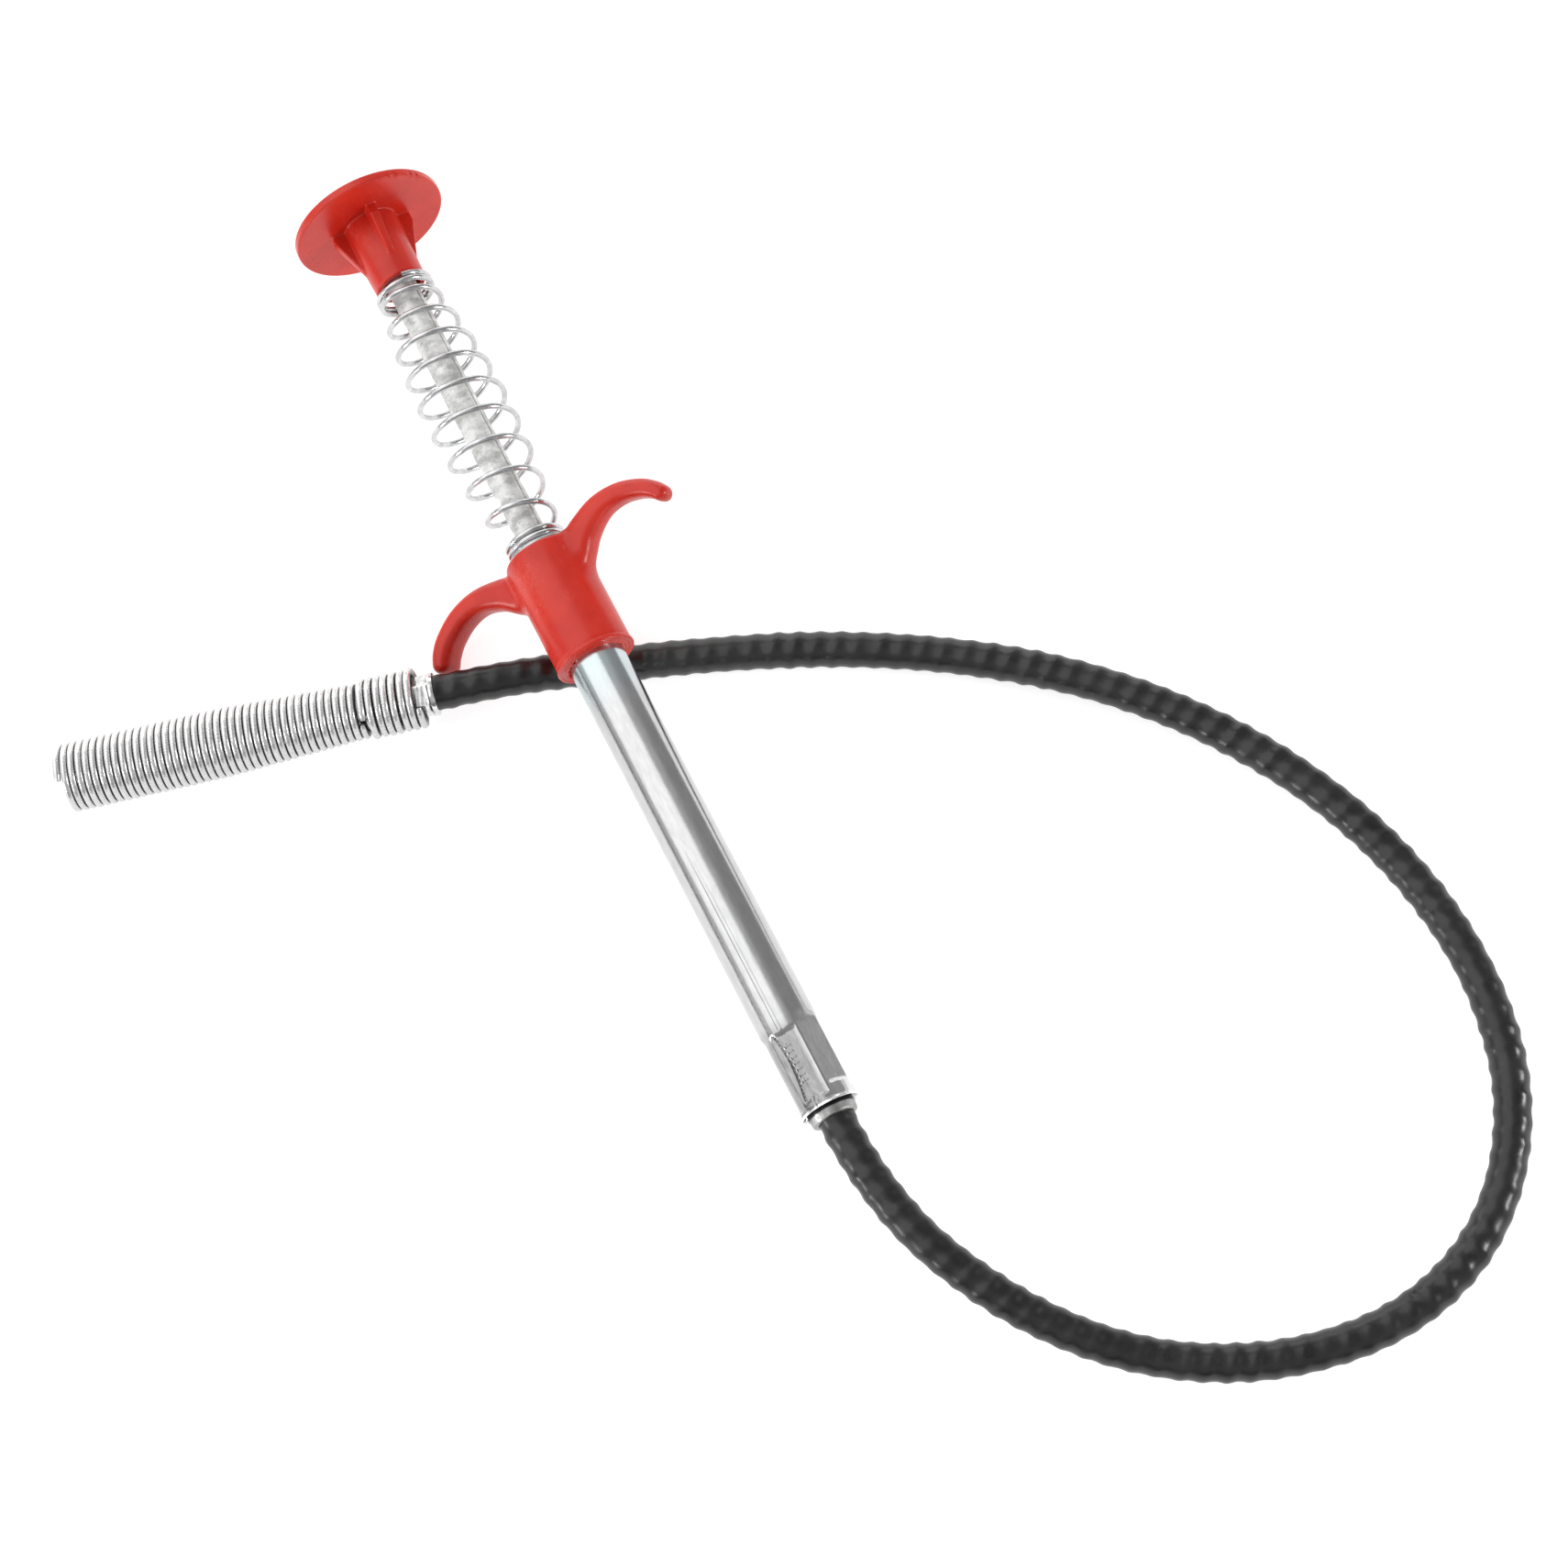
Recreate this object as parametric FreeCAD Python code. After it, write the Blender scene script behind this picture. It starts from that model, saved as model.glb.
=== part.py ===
"""Claw-type drain auger: a hand-pressed plunger and finger grip on a plated barrel, a jacketed
flexible hose, and a closed-wound head spring that holds a four-finger claw.

Millimetres. +X runs along the barrel from the thumb plate to the hose, +Z is up, and the hose lies
in a loop on the +Y side. The origin is under the middle of the hand piece, on the surface it lies on.
"""
import FreeCAD
import Part
import math
import os

V = FreeCAD.Vector

# ---------------------------------------------------------------- driving dimensions
HAND_PIECE_LENGTH = 166.0      # thumb plate's outer face to the end of the hose collar
X_CAP = -HAND_PIECE_LENGTH / 2
AXIS_HEIGHT = 12.5             # barrel axis above the surface: the thumb plate's radius
TRAVEL = 30.0                  # plunger stroke, and the claw's stroke

# thumb plate and its stem
PLATE_R = 12.5
PLATE_T = 1.4
STEM_R = 4.2
STEM_END = 13.7                # stations along the barrel are counted from the thumb plate's face
STEM_MOUTH_R = 3.3
STEM_MOUTH_DEPTH = 7.0
RIB_T = 1.2
RIB_RISE = 2.7
RIB_END = 10.4
RIB_EDGE = 0.9
RIB_ROLL = 10.0

# plunger tube and what it carries
TUBE_R = 2.4
TUBE_BORE_R = 1.6
TUBE_START = 3.0
TUBE_END = 98.0
PLUG_FLANGE_T = 1.5
PLUG_DEPTH = 9.0
CABLE_R = 0.75
STOP_RING_R = 3.6
STOP_RING_T = 2.0

# return spring
SPRING_WIRE = 0.95
SPRING_END_R = 4.4
SPRING_MID_R = 6.65
SPRING_OPEN_TURNS = 9
SPRING_CLOSED_TURNS = 1.75
SPRING_POINTS_PER_TURN = 12
SPRING_GAP = 0.05              # between the end turns and what they press on

# grip
GRIP_START = 66.5
GRIP_END = 86.0
GRIP_R = 6.2
GRIP_LIP_R = 6.4
GRIP_LIP_T = 1.0
HOOK_ROLL = 26.0               # the finger hooks' plane, turned about the barrel axis
HOOK_ROOT_DEPTH = 5.2
HOOK_TIP_DEPTH = 3.4
HOOK_REACH = 24.9              # barrel axis to the hook's tip

# barrel and its fittings
BARREL_R = 4.5
BARREL_BORE_R = 3.9
BARREL_END = 164.5
CRIMP_START = 152.0
CRIMP_FLAT = 4.15              # barrel axis to each crimped flat
CRIMP_FLATS = 6
BUSH_LENGTH = 4.0
RUNNING_FIT = 0.05
WASHER_R = 5.5
WASHER_T = 0.6
WASHER_SEAT_R = 5.7            # cleared in the hooks' roots for the washer
COLLAR_START = 150.0
COLLAR_R = 3.88

# hose: its outline, its liner coil and the cable in it
HOSE_R = 2.8
HOSE_BORE_R = 2.1
LINER_R = 2.0
LINER_BORE_R = 1.3
LINER_START = 152.0
STATIC_CABLE_START = 157.5
CABLE_GAP = 1.5                # left between the cable's moving and still lengths at full travel
ARC_SHARE = 0.45               # how much of the shorter run each corner's arc takes
HEAD_AXIS_HEIGHT = 5.6
HOSE_HEIGHT = 2.8

# hose route, from the collar to the head, one point per bend
HOSE_ROUTE = [
    (83.0, 0.0, AXIS_HEIGHT),
    (97.0, 0.0, AXIS_HEIGHT),
    (117.0, 8.5, 10.3),
    (132.5, 22.0, 5.8),
    (142.0, 39.5, 3.3),
    (145.0, 59.0, HOSE_HEIGHT),
    (139.0, 76.0, HOSE_HEIGHT),
    (125.0, 88.0, HOSE_HEIGHT),
    (107.0, 93.0, HOSE_HEIGHT),
    (88.0, 92.0, HOSE_HEIGHT),
    (70.0, 86.5, HOSE_HEIGHT),
    (53.0, 77.0, HOSE_HEIGHT),
    (38.0, 64.5, HOSE_HEIGHT),
    (25.5, 49.5, HOSE_HEIGHT),
    (15.0, 33.0, HOSE_HEIGHT),
    (6.5, 15.5, HOSE_HEIGHT),
    (-0.5, -1.5, HOSE_HEIGHT),
    (-4.5, -14.7, HEAD_AXIS_HEIGHT),
    (-7.2, -24.5, HEAD_AXIS_HEIGHT),
]

# head: stations are counted from the hose's end
HEAD_LENGTH = 59.5
FERRULE_R = 3.35
FERRULE_FLAT = 3.1
FERRULE_FLATS = 6
FERRULE_NECK = 3.4
FERRULE_TAIL_R = 3.2
FERRULE_TAIL_END = 12.6
FERRULE_BORE_R = 1.2
ROOT_COIL_R = 4.9
ROOT_COIL_END = 11.6
HEAD_WIRE = 1.15
HEAD_COIL_START = 11.9
HEAD_COIL_START_R = 4.4
HEAD_COIL_FULL = 34.0          # station where the main coil reaches its full radius
HEAD_COIL_R = 5.35

# claw
CARRIAGE_R = 2.9
CARRIAGE_END = HEAD_LENGTH - TRAVEL + 2.7
CARRIAGE_START = CARRIAGE_END - 6.7
FINGER_COUNT = 4
FINGER_R = 0.55
FINGER_CIRCLE_R = 1.3          # head axis to each finger's root
FINGER_PIVOT = CARRIAGE_END - 0.8
FINGER_EYE_R = 0.6
FINGER_EYE_T = 1.1
FINGER_EYE_CLEARANCE = 0.05    # eye to slot
PIN_R = 0.3
PIN_FIT = 0.04
FINGER_TIPS = (58.4, 57.0)     # opposite fingers end together, neighbours are staggered
FINGER_BEND = (1.6, 0.7)       # the bent tip's length along the head, and how far it turns inwards

X_AXIS = V(1, 0, 0)


# ---------------------------------------------------------------- shape helpers
def station(u):
    """A point on the barrel axis, u from the thumb plate's outer face."""
    return V(X_CAP + u, 0, AXIS_HEIGHT)


def rod(radius, start, end):
    """A solid rod on the barrel axis between two stations."""
    return Part.makeCylinder(radius, end - start, station(start), X_AXIS)


def sleeve(radius, bore, start, end):
    """A tube on the barrel axis between two stations."""
    return rod(radius, start, end).cut(rod(bore, start - 1, end + 1))


def flats(shape, count, distance, reach, start, end):
    """Cuts flat faces into a rod on the barrel axis, all the same distance from it."""
    length = end - start
    for i in range(count):
        block = Part.makeBox(length, 2 * reach, reach, V(0, -reach, distance))
        block.rotate(V(0, 0, 0), X_AXIS, i * 360.0 / count)
        block.translate(station(start))
        shape = shape.cut(block)
    return shape


def corner(before, at, after):
    """The tangent arc at one corner of a route: its start, middle and end, and its radius."""
    into = (at - before).normalize()
    away = (after - at).normalize()
    turn = into.getAngle(away)
    cut = ARC_SHARE * min((at - before).Length, (after - at).Length)
    radius = cut / math.tan(turn / 2)
    inward = (away - into).normalize()
    middle = at + inward * (radius / math.cos(turn / 2) - radius)
    return at - into * cut, middle, at + away * cut, radius


def route_wire(points, lead):
    """Straight runs joined by tangent arcs, from a point on the first run's line, and the arcs' radii."""
    edges = []
    radii = []
    here = lead
    for before, at, after in zip(points, points[1:], points[2:]):
        start, middle, end, radius = corner(before, at, after)
        edges.append(Part.LineSegment(here, start).toShape())
        edges.append(Part.Arc(start, middle, end).toShape())
        radii.append(radius)
        here = end
    edges.append(Part.LineSegment(here, points[-1]).toShape())
    return Part.Wire(edges), radii


def swept_rod(radius, path, start, direction):
    """A round rod along a wire."""
    profile = Part.Wire(Part.makeCircle(radius, start, direction))
    return path.makePipeShell([profile], True, False)


def swept_tube(radius, bore, points, lead):
    """A round tube along a route, its path's length, and the radii of its bends."""
    path, radii = route_wire(points, lead)
    direction = points[1] - points[0]
    solid = swept_rod(radius, path, lead, direction)
    if bore:
        solid = solid.cut(swept_rod(bore, path, lead, direction))
    return solid, path.Length, radii


# ---------------------------------------------------------------- plunger
def rib(angle):
    """One gusset under the thumb plate, from the plate's rim side down to the stem."""
    inside = STEM_R - 1.0
    outline = [
        V(PLATE_T, 0, inside),
        V(PLATE_T, 0, STEM_R + RIB_RISE),
        V(PLATE_T + RIB_EDGE, 0, STEM_R + RIB_RISE),
        V(RIB_END, 0, STEM_R),
        V(RIB_END, 0, inside),
    ]
    face = Part.Face(Part.makePolygon(outline + outline[:1]))
    blade = face.extrude(V(0, RIB_T, 0))
    blade.translate(V(0, -RIB_T / 2, 0))
    blade.rotate(V(0, 0, 0), X_AXIS, angle)
    blade.translate(station(0))
    return blade


def thumb_plate():
    shape = rod(PLATE_R, 0, PLATE_T).fuse(rod(STEM_R, 0, STEM_END))
    for i in range(4):
        shape = shape.fuse(rib(i * 90.0 - RIB_ROLL))
    shape = shape.cut(rod(TUBE_R, TUBE_START, STEM_END + 1))
    return shape.cut(rod(STEM_MOUTH_R, STEM_END - STEM_MOUTH_DEPTH, STEM_END + 1)).removeSplitter()


def plunger_tube():
    return sleeve(TUBE_R, TUBE_BORE_R, TUBE_START, TUBE_END)


def tube_end_plug():
    """Crimped into the plunger tube's end; it grips the cable."""
    barb = rod(TUBE_BORE_R - 0.02, TUBE_END - PLUG_DEPTH, TUBE_END)
    return barb.fuse(rod(TUBE_R, TUBE_END, TUBE_END + PLUG_FLANGE_T)).removeSplitter()


def stop_ring():
    """Snap ring that meets the guide bush and keeps the plunger in the barrel."""
    start = GRIP_START + BUSH_LENGTH + 0.2
    return sleeve(STOP_RING_R, TUBE_R, start, start + STOP_RING_T)


def cable_drive_end():
    return rod(CABLE_R, TUBE_END + PLUG_FLANGE_T, STATIC_CABLE_START - CABLE_GAP - TRAVEL)


def spring_point(turns):
    """A point on the return spring's wire line: barrel shaped, with closed turns at both ends."""
    start = STEM_END + SPRING_GAP + SPRING_WIRE / 2
    end = GRIP_START - WASHER_T - SPRING_GAP - SPRING_WIRE / 2
    closed_pitch = SPRING_WIRE * 1.05
    closed = SPRING_CLOSED_TURNS * closed_pitch
    open_length = end - start - 2 * closed
    share = min(max((turns - SPRING_CLOSED_TURNS) / SPRING_OPEN_TURNS, 0), 1)
    late = max(turns - SPRING_CLOSED_TURNS - SPRING_OPEN_TURNS, 0)
    u = start + min(turns, SPRING_CLOSED_TURNS) * closed_pitch + share * open_length + late * closed_pitch
    radius = SPRING_END_R + (SPRING_MID_R - SPRING_END_R) * math.sin(math.pi * share)
    angle = 2 * math.pi * turns
    return station(u) + V(0, radius * math.cos(angle), radius * math.sin(angle))


def return_spring():
    total = SPRING_OPEN_TURNS + 2 * SPRING_CLOSED_TURNS
    steps = int(total * SPRING_POINTS_PER_TURN)
    line = Part.BSplineCurve()
    line.interpolate([spring_point(total * i / steps) for i in range(steps + 1)])
    direction = line.tangent(line.FirstParameter)[0]
    profile = Part.Wire(Part.makeCircle(SPRING_WIRE / 2, spring_point(0), direction))
    return Part.Wire([line.toShape()]).makePipeShell([profile], True, True)


# ---------------------------------------------------------------- barrel and grip
def hook_outline():
    """A finger hook seen square on, as along-barrel station and distance from the barrel axis."""
    outer = [V(67.0, 0, 3.5), V(65.0, 0, 8.5), V(64.4, 0, 13.0), V(65.6, 0, 18.5), V(68.5, 0, 22.8)]
    nose = [V(70.9, 0, 24.6), V(72.3, 0, HOOK_REACH), V(72.8, 0, 23.6)]
    inner = [V(70.4, 0, 20.8), V(68.7, 0, 16.6), V(68.6, 0, 12.2), V(70.4, 0, 8.6), V(74.4, 0, 6.2)]
    root = V(74.4, 0, 3.5)
    back = Part.BSplineCurve()
    back.interpolate(outer + nose[:1])
    tip = Part.Arc(*nose)
    front = Part.BSplineCurve()
    front.interpolate([nose[-1]] + inner)
    closing = [Part.LineSegment(inner[-1], root), Part.LineSegment(root, outer[0])]
    return Part.Wire([c.toShape() for c in [back, tip, front] + closing])


def finger_hook(side):
    """One hook; side is 0 for the one on +Y and 180 for the one on -Y."""
    blade = Part.Face(hook_outline()).extrude(V(0, HOOK_ROOT_DEPTH, 0))
    blade.translate(V(0, -HOOK_ROOT_DEPTH / 2, 0))
    root = HOOK_ROOT_DEPTH / 2
    tip = HOOK_TIP_DEPTH / 2
    taper = [V(0, -root, 0), V(0, -root, GRIP_R), V(0, -tip, HOOK_REACH), V(0, tip, HOOK_REACH),
             V(0, root, GRIP_R), V(0, root, 0)]
    wedge = Part.Face(Part.makePolygon(taper + taper[:1])).extrude(V(HAND_PIECE_LENGTH, 0, 0))
    blade = blade.common(wedge)
    blade.rotate(V(0, 0, 0), X_AXIS, HOOK_ROLL - 90 + side)
    blade.translate(station(0))
    return blade


def handle_grip():
    shape = rod(GRIP_R, GRIP_START, GRIP_END).fuse(rod(GRIP_LIP_R, GRIP_END - GRIP_LIP_T, GRIP_END))
    for side in (0, 180):
        shape = shape.fuse(finger_hook(side))
    shape = shape.cut(rod(WASHER_SEAT_R, GRIP_START - 5, GRIP_START))
    return shape.cut(rod(BARREL_R, GRIP_START - 1, GRIP_END + 1)).removeSplitter()


def barrel_tube():
    tube = rod(BARREL_R, GRIP_START, BARREL_END)
    tube = flats(tube, CRIMP_FLATS, CRIMP_FLAT, BARREL_R + 1, CRIMP_START, BARREL_END)
    return tube.cut(rod(BARREL_BORE_R, GRIP_START - 1, BARREL_END + 1))


def guide_bush():
    return sleeve(BARREL_BORE_R - 0.02, TUBE_R + RUNNING_FIT, GRIP_START, GRIP_START + BUSH_LENGTH)


def spring_washer():
    return sleeve(WASHER_R, TUBE_R + RUNNING_FIT, GRIP_START - WASHER_T, GRIP_START)


def hose_collar():
    return sleeve(COLLAR_R, LINER_R + 0.05, COLLAR_START, HAND_PIECE_LENGTH)


# ---------------------------------------------------------------- hose
def along_hose(radius, bore, first_station):
    """A tube or rod on the hose's centreline; the inner pieces start further back, inside the barrel."""
    return swept_tube(radius, bore, [V(*p) for p in HOSE_ROUTE], station(first_station))


def hose_jacket():
    return along_hose(HOSE_R, HOSE_BORE_R, HAND_PIECE_LENGTH)


def hose_liner():
    return along_hose(LINER_R, LINER_BORE_R, LINER_START)


def drive_cable():
    return along_hose(CABLE_R, 0, STATIC_CABLE_START)


# ---------------------------------------------------------------- head and claw
HEAD_START = V(*HOSE_ROUTE[-1])
HEAD_DIRECTION = (HEAD_START - V(*HOSE_ROUTE[-2])).normalize()


def on_head(shape):
    """Takes a shape made along +X from the origin and lays it on the head's axis."""
    placed = shape.copy()
    turn = FreeCAD.Placement(HEAD_START, FreeCAD.Rotation(X_AXIS, HEAD_DIRECTION))
    placed.Placement = turn.multiply(placed.Placement)
    return placed


def head_rod(radius, start, end):
    return Part.makeCylinder(radius, end - start, V(start, 0, 0), X_AXIS)


def head_ferrule():
    neck = head_rod(FERRULE_R, 0, FERRULE_NECK)
    for i in range(FERRULE_FLATS):
        block = Part.makeBox(FERRULE_NECK, 2 * FERRULE_R, FERRULE_R, V(0.5, -FERRULE_R, FERRULE_FLAT))
        block.rotate(V(0, 0, 0), X_AXIS, i * 360.0 / FERRULE_FLATS)
        neck = neck.cut(block)
    shape = neck.fuse(head_rod(FERRULE_TAIL_R, FERRULE_NECK, FERRULE_TAIL_END))
    return on_head(shape.cut(head_rod(FERRULE_BORE_R, -1, FERRULE_TAIL_END + 1)))


def head_root_coil():
    outer = head_rod(ROOT_COIL_R, FERRULE_NECK, ROOT_COIL_END)
    return on_head(outer.cut(head_rod(ROOT_COIL_R - HEAD_WIRE, FERRULE_NECK - 1, ROOT_COIL_END + 1)))


def head_coil():
    """The closed-wound spring as a sleeve that widens towards its mouth."""
    outline = [
        V(HEAD_COIL_START, 0, HEAD_COIL_START_R - HEAD_WIRE),
        V(HEAD_COIL_START, 0, HEAD_COIL_START_R),
        V(HEAD_COIL_FULL, 0, HEAD_COIL_R),
        V(HEAD_LENGTH, 0, HEAD_COIL_R),
        V(HEAD_LENGTH, 0, HEAD_COIL_R - HEAD_WIRE),
        V(HEAD_COIL_FULL, 0, HEAD_COIL_R - HEAD_WIRE),
    ]
    face = Part.Face(Part.makePolygon(outline + outline[:1]))
    return on_head(face.revolve(V(0, 0, 0), X_AXIS, 360))


def claw_carriage():
    """Slides in the head spring; four slots in its front face hold the fingers' eyes on pins."""
    shape = head_rod(CARRIAGE_R, CARRIAGE_START, CARRIAGE_END)
    width = FINGER_EYE_T + 2 * FINGER_EYE_CLEARANCE
    floor = FINGER_PIVOT - FINGER_EYE_R - FINGER_EYE_CLEARANCE
    inside = FINGER_CIRCLE_R - FINGER_EYE_R - FINGER_EYE_CLEARANCE
    for i in range(FINGER_COUNT):
        slot = Part.makeBox(CARRIAGE_R, width, CARRIAGE_R, V(floor, -width / 2, inside))
        slot.rotate(V(0, 0, 0), X_AXIS, i * 360.0 / FINGER_COUNT)
        shape = shape.cut(slot)
    for i in range(FINGER_COUNT):
        foot = V(FINGER_PIVOT, -width / 2 - PIN_R, FINGER_CIRCLE_R)
        pin = Part.makeCylinder(PIN_R, width + 2 * PIN_R, foot, V(0, 1, 0))
        pin.rotate(V(0, 0, 0), X_AXIS, i * 360.0 / FINGER_COUNT)
        shape = shape.fuse(pin)
    return on_head(shape.removeSplitter())


def cable_claw_end():
    return on_head(head_rod(CABLE_R, CABLE_GAP, CARRIAGE_START))


def claw_finger(index):
    """A wire finger: an eye on its pin, a straight wire, and a tip bent inwards."""
    along, inward = FINGER_BEND
    tip = FINGER_TIPS[index % 2]
    bend = V(tip - along, 0, 0)
    end = V(tip, 0, -inward)
    across = V(0, 1, 0)
    eye = Part.makeCylinder(FINGER_EYE_R, FINGER_EYE_T, V(FINGER_PIVOT, -FINGER_EYE_T / 2, 0), across)
    wire = eye.fuse(head_rod(FINGER_R, FINGER_PIVOT, bend.x))
    wire = wire.cut(Part.makeCylinder(PIN_R + PIN_FIT, 4 * PIN_R + FINGER_EYE_T,
                                      V(FINGER_PIVOT, -FINGER_EYE_T, 0), across))
    wire = wire.fuse(Part.makeSphere(FINGER_R, bend))
    wire = wire.fuse(Part.makeCylinder(FINGER_R, (end - bend).Length, bend, end - bend))
    wire = wire.fuse(Part.makeSphere(FINGER_R, end))
    wire.translate(V(0, 0, FINGER_CIRCLE_R))
    wire.rotate(V(0, 0, 0), X_AXIS, index * 360.0 / FINGER_COUNT)
    return on_head(wire)


# ---------------------------------------------------------------- writing the parts
def write(name, shape):
    shape.exportStep("parts/%s.step" % name)
    box = shape.BoundBox
    print("%-18s valid %s solids %d volume %9.2f  x %.2f..%.2f y %.2f..%.2f z %.2f..%.2f" % (
        name, shape.isValid(), len(shape.Solids), shape.Volume,
        box.XMin, box.XMax, box.YMin, box.YMax, box.ZMin, box.ZMax))


def write_tube(name, made, radius, bore):
    shape, length, radii = made
    write(name, shape)
    section = math.pi * (radius ** 2 - bore ** 2)
    print("  length %.1f, section times length %.1f" % (length, section * length))
    print("  bend radii", " ".join("%.1f" % r for r in radii))


def main():
    os.makedirs("parts", exist_ok=True)
    pieces = [thumb_plate, plunger_tube, tube_end_plug, stop_ring, cable_drive_end, return_spring,
              handle_grip, barrel_tube, guide_bush, spring_washer, hose_collar,
              head_ferrule, head_root_coil, head_coil, claw_carriage, cable_claw_end]
    for piece in pieces:
        write(piece.__name__, piece())
    for i in range(FINGER_COUNT):
        write("claw_finger_%d" % (i + 1), claw_finger(i))
    write_tube("hose_jacket", hose_jacket(), HOSE_R, HOSE_BORE_R)
    write_tube("hose_liner", hose_liner(), LINER_R, LINER_BORE_R)
    write_tube("drive_cable", drive_cable(), CABLE_R, 0)


main()
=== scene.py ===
"""Looks of the drain auger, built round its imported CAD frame.

Metres, in the CAD's frame: +X along the barrel from the thumb plate to the hose, +Z up, and the
surface that it lies on at z = 0. Small details are worked out in millimetres and scaled by MM.
"""
import math

import bmesh
import bpy
import numpy as np
import openvdb
from mathutils import Matrix, Vector


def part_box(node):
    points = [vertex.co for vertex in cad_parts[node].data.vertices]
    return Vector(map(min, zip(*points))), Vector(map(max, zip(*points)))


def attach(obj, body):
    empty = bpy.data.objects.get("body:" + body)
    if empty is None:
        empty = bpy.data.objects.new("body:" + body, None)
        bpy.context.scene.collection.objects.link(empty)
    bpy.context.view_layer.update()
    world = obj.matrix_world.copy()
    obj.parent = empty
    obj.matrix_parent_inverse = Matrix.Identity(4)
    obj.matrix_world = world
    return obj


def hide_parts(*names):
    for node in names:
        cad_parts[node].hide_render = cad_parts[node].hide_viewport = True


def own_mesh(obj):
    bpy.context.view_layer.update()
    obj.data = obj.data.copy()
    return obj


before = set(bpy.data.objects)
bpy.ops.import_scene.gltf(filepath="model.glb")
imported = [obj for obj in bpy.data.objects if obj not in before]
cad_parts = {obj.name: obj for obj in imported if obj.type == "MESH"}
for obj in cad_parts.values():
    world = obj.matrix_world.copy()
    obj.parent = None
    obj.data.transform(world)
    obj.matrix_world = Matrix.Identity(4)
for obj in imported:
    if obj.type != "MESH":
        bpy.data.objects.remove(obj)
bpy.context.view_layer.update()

MM = 0.001
TAU = 2 * math.pi

# -------------------- places, from the frame
plate_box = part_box("thumb_plate")
washer_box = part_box("spring_washer")
grip_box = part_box("handle_grip")
barrel_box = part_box("barrel_tube")
collar_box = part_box("hose_collar")
tube_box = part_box("plunger_tube")

X_FACE = plate_box[0].x  # thumb plate's outer face
AXIS_Z = (barrel_box[0].z + barrel_box[1].z) / 2  # barrel axis
BARREL_R = (barrel_box[1].z - barrel_box[0].z) / 2
PLATE_R = (plate_box[1].z - plate_box[0].z) / 2


def station(x):
    """Distance of x from the thumb plate's outer face, in millimetres."""
    return (x - X_FACE) / MM


STEM_END = station(plate_box[1].x)
GRIP_START = station(barrel_box[0].x)
GRIP_END = station(grip_box[1].x)
BARREL_END = station(barrel_box[1].x)
COLLAR_END = station(collar_box[1].x)
CRIMP_START = 152.0  # the barrel is pressed from about here to its end
TUBE_R = 2.4

# the hose's route, the same points as in the CAD source
HOSE_ROUTE = [
    (0.0830, 0.0000, 0.0125),
    (0.0970, 0.0000, 0.0125),
    (0.1170, 0.0085, 0.0103),
    (0.1325, 0.0220, 0.0058),
    (0.1420, 0.0395, 0.0033),
    (0.1450, 0.0590, 0.0028),
    (0.1390, 0.0760, 0.0028),
    (0.1250, 0.0880, 0.0028),
    (0.1070, 0.0930, 0.0028),
    (0.0880, 0.0920, 0.0028),
    (0.0700, 0.0865, 0.0028),
    (0.0530, 0.0770, 0.0028),
    (0.0380, 0.0645, 0.0028),
    (0.0255, 0.0495, 0.0028),
    (0.0150, 0.0330, 0.0028),
    (0.0065, 0.0155, 0.0028),
    (-0.0005, -0.0015, 0.0028),
    (-0.0045, -0.0147, 0.0056),
    (-0.0072, -0.0245, 0.0056),
]
HOSE_D = 0.0056

HEAD_START = np.array(HOSE_ROUTE[-1])
HEAD_AXIS = HEAD_START - np.array(HOSE_ROUTE[-2])
HEAD_AXIS = HEAD_AXIS / np.linalg.norm(HEAD_AXIS)
HEAD_SIDE = np.array([-HEAD_AXIS[1], HEAD_AXIS[0], 0.0])
UP = np.array([0.0, 0.0, 1.0])

# the head's coils, in millimetres; stations run from the hose's end
HEAD_WIRE = 1.15
ROOT_R = 4.9  # outside of the root coil
COIL_FROM = 12.0  # the main coil opens out from here, to its full size at COIL_FULL_AT
COIL_FROM_R = 4.55
COIL_FULL_AT = 34.0
COIL_FULL_R = 5.58


def head_span(node):
    """Where a node on the head starts and ends, in millimetres from the hose's end."""
    points = np.array([v.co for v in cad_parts[node].data.vertices])
    along = (points - HEAD_START) @ HEAD_AXIS / MM
    return along.min(), along.max()


# -------------------- camera
CAMERA_AZIMUTH = math.radians(82.15)
CAMERA_ELEVATION = math.radians(70.84)
CAMERA_ROLL = math.radians(-19.92)
CAMERA_TARGET = Vector((0.03011, 0.01673, 0.0))
CAMERA_DISTANCE = 0.490
LENS = 73.68
SENSOR = 36.0


def make_camera():
    """A camera placed by its angles and by its distance from the target."""
    across = math.cos(CAMERA_ELEVATION)
    back = Vector((math.sin(CAMERA_AZIMUTH) * across, -math.cos(CAMERA_AZIMUTH) * across,
                   math.sin(CAMERA_ELEVATION)))
    level = Vector((math.cos(CAMERA_AZIMUTH), math.sin(CAMERA_AZIMUTH), 0))
    upright = back.cross(level)
    right = level * math.cos(CAMERA_ROLL) + upright * math.sin(CAMERA_ROLL)
    up = upright * math.cos(CAMERA_ROLL) - level * math.sin(CAMERA_ROLL)
    data = bpy.data.cameras.new("camera")
    data.lens = LENS
    data.sensor_width = SENSOR
    data.clip_start = 0.01
    camera = bpy.data.objects.new("camera", data)
    bpy.context.scene.collection.objects.link(camera)
    place = CAMERA_TARGET + back * CAMERA_DISTANCE
    camera.matrix_world = Matrix([[right[i], up[i], back[i], place[i]] for i in range(3)] + [[0, 0, 0, 1]])
    bpy.context.scene.camera = camera


make_camera()


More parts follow.
